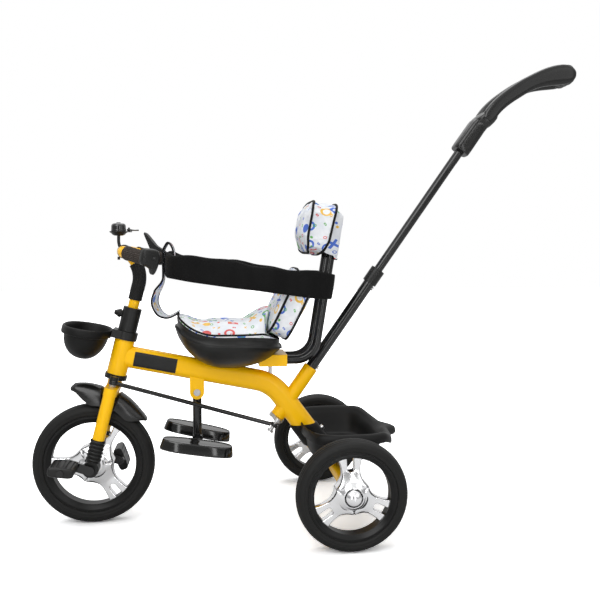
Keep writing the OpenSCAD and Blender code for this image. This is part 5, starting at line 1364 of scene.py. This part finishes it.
def light_world(scene):
    """A soft world, white to the camera, with a darker band and a white sweep behind in reflections."""
    world = scene.world or bpy.data.worlds.new("studio")
    scene.world = world
    world.use_nodes = True
    world.node_tree.nodes.clear()
    n = Nodes(world.node_tree)
    ray = n.add("LightPath").outputs
    up = n.add("SeparateXYZ", in_0=n.add("TexCoord").outputs["Generated"]).outputs
    tone = n.add("ValToRGB", in_0=n.ramp(up[2], -1.0, 1.0))
    stops = tone.color_ramp.elements
    stops[0].color, stops[1].color = grey(0.9), WHITE
    for at, v in ((0.47, 0.75), (0.55, 0.38), (0.66, 0.42), (0.78, 0.95)):
        stops.new(at).color = grey(v)
    sweep = n.mix(n.ramp(up[1], 0.05, 0.45, 0.0, 0.8), tone.outputs[0], grey(0.95))
    soft = n.add("Background", in_0=(0.98, 0.99, 1.0, 1), in_1=0.5).outputs[0]
    shiny = n.add("Background", in_0=sweep, in_1=1.0).outputs[0]
    seen = n.add("Background", in_0=WHITE, in_1=1.0).outputs[0]
    glossy = n.math("MAXIMUM", ray["Is Glossy Ray"], ray["Is Transmission Ray"])
    light = n.add("MixShader", in_0=glossy, in_1=soft, in_2=shiny).outputs[0]
    light = n.add("MixShader", in_0=ray["Is Camera Ray"], in_1=light, in_2=seen).outputs[0]
    n.add("OutputWorld", in_0=light)


def lay_floor(scene):
    """A floor that keeps the shadow and runs out to white in the camera's eyes."""
    half, dull, seen = 9, grey(0.74), grey(1.7)
    mesh = bpy.data.meshes.new("floor")
    corners = [(-half, -half, 0), (half, -half, 0), (half, half, 0), (-half, half, 0)]
    mesh.from_pydata(corners, [], [(0, 1, 2, 3)])
    floor = bpy.data.objects.new("floor", mesh)
    scene.collection.objects.link(floor)
    mat = bpy.data.materials.new("floor_white")
    mat.use_nodes = True
    mat.node_tree.nodes.clear()
    n = Nodes(mat.node_tree)
    camera = n.add("LightPath").outputs["Is Camera Ray"]
    off = n.add("VectorMath", operation="LENGTH", in_0=n.add("TexCoord").outputs["Object"]).outputs["Value"]
    share = n.math("MULTIPLY", n.ramp(off, 0.5, 1.1, 0.05, 1.0), camera)
    plain = n.add("BsdfDiffuse", in_0=n.mix(camera, dull, seen)).outputs[0]
    glow = n.add("Emission", in_0=WHITE, in_1=share).outputs[0]
    n.add("OutputMaterial", in_0=n.add("AddShader", in_0=plain, in_1=glow).outputs[0])
    mesh.materials.append(mat)


class TRIKE_OT_stage(bpy.types.Operator):
    """Floor, soft studio light and the camera"""

    bl_idname = "trike.stage"
    bl_label = "Stage"

    def execute(self, context):
        scene = context.scene
        scene.view_settings.view_transform = "Standard"
        light_world(scene)
        lay_floor(scene)
        for name, at, aim, shape, wide, tall, power in LAMPS:
            lamp = bpy.data.lights.new(name, "AREA")
            lamp.shape, lamp.size, lamp.size_y, lamp.energy = shape, wide, tall, power
            ob = bpy.data.objects.new(name, lamp)
            scene.collection.objects.link(ob)
            ob.location = at
            ob.rotation_euler = (Vector(aim) - Vector(at)).to_track_quat("-Z", "Y").to_euler()
        camera = bpy.data.cameras.new("camera")
        camera.sensor_width, camera.lens = SENSOR, LENS
        view = bpy.data.objects.new("camera", camera)
        scene.collection.objects.link(view)
        level = math.cos(ELEVATION)
        back = Vector((math.sin(AZIMUTH) * level, -math.cos(AZIMUTH) * level, math.sin(ELEVATION)))
        right = Vector((math.cos(AZIMUTH), math.sin(AZIMUTH), 0))
        turn = Matrix((right, back.cross(right), back)).transposed().to_4x4()
        view.matrix_world = Matrix.Translation(CAMERA_AT) @ turn
        scene.camera = view
        return {"FINISHED"}


class TRIKE_PT_panel(bpy.types.Panel):
    """Lists the trike's pieces and settings"""

    bl_idname = "TRIKE_PT_panel"
    bl_label = "Push along trike"
    bl_space_type = "VIEW_3D"
    bl_region_type = "UI"
    bl_category = "Trike"

    def draw(self, context):
        for op in OPERATORS:
            self.layout.operator(op.bl_idname)
        for group in (context.scene.trike_sizes, context.scene.trike_colours):
            for key in group.bl_rna.properties.keys():
                if key not in ("rna_type", "name"):
                    self.layout.prop(group, key)


OPERATORS = (
    TRIKE_OT_stage,
    TRIKE_OT_finishes,
    TRIKE_OT_tub,
    TRIKE_OT_cushion,
    TRIKE_OT_back_pad,
    TRIKE_OT_headrest,
    TRIKE_OT_guard_ring,
    TRIKE_OT_crotch_strap,
    TRIKE_OT_tyres,
    TRIKE_OT_spokes,
    TRIKE_OT_mudguard,
    TRIKE_OT_front_basket,
    TRIKE_OT_rear_basket,
    TRIKE_OT_pedals,
    TRIKE_OT_foot_pads,
    TRIKE_OT_handle_grip,
    TRIKE_OT_hand_guards,
    TRIKE_OT_grips,
    TRIKE_OT_bell_mount,
    TRIKE_OT_bell,
)
CLASSES = (TrikeColours, TrikeSizes) + OPERATORS + (TRIKE_PT_panel,)


def register():
    """Registers the classes and hangs the settings on the scene."""
    for cls in CLASSES:
        bpy.utils.register_class(cls)
    bpy.types.Scene.trike_colours = PointerProperty(type=TrikeColours)
    bpy.types.Scene.trike_sizes = PointerProperty(type=TrikeSizes)


def unregister():
    """Undoes register."""
    del bpy.types.Scene.trike_sizes
    del bpy.types.Scene.trike_colours
    for cls in reversed(CLASSES):
        bpy.utils.unregister_class(cls)


def main():
    """Makes every piece in order."""
    register()
    for op in OPERATORS:
        area, name = op.bl_idname.split(".")
        getattr(getattr(bpy.ops, area), name)()


if __name__ == "__main__":
    main()
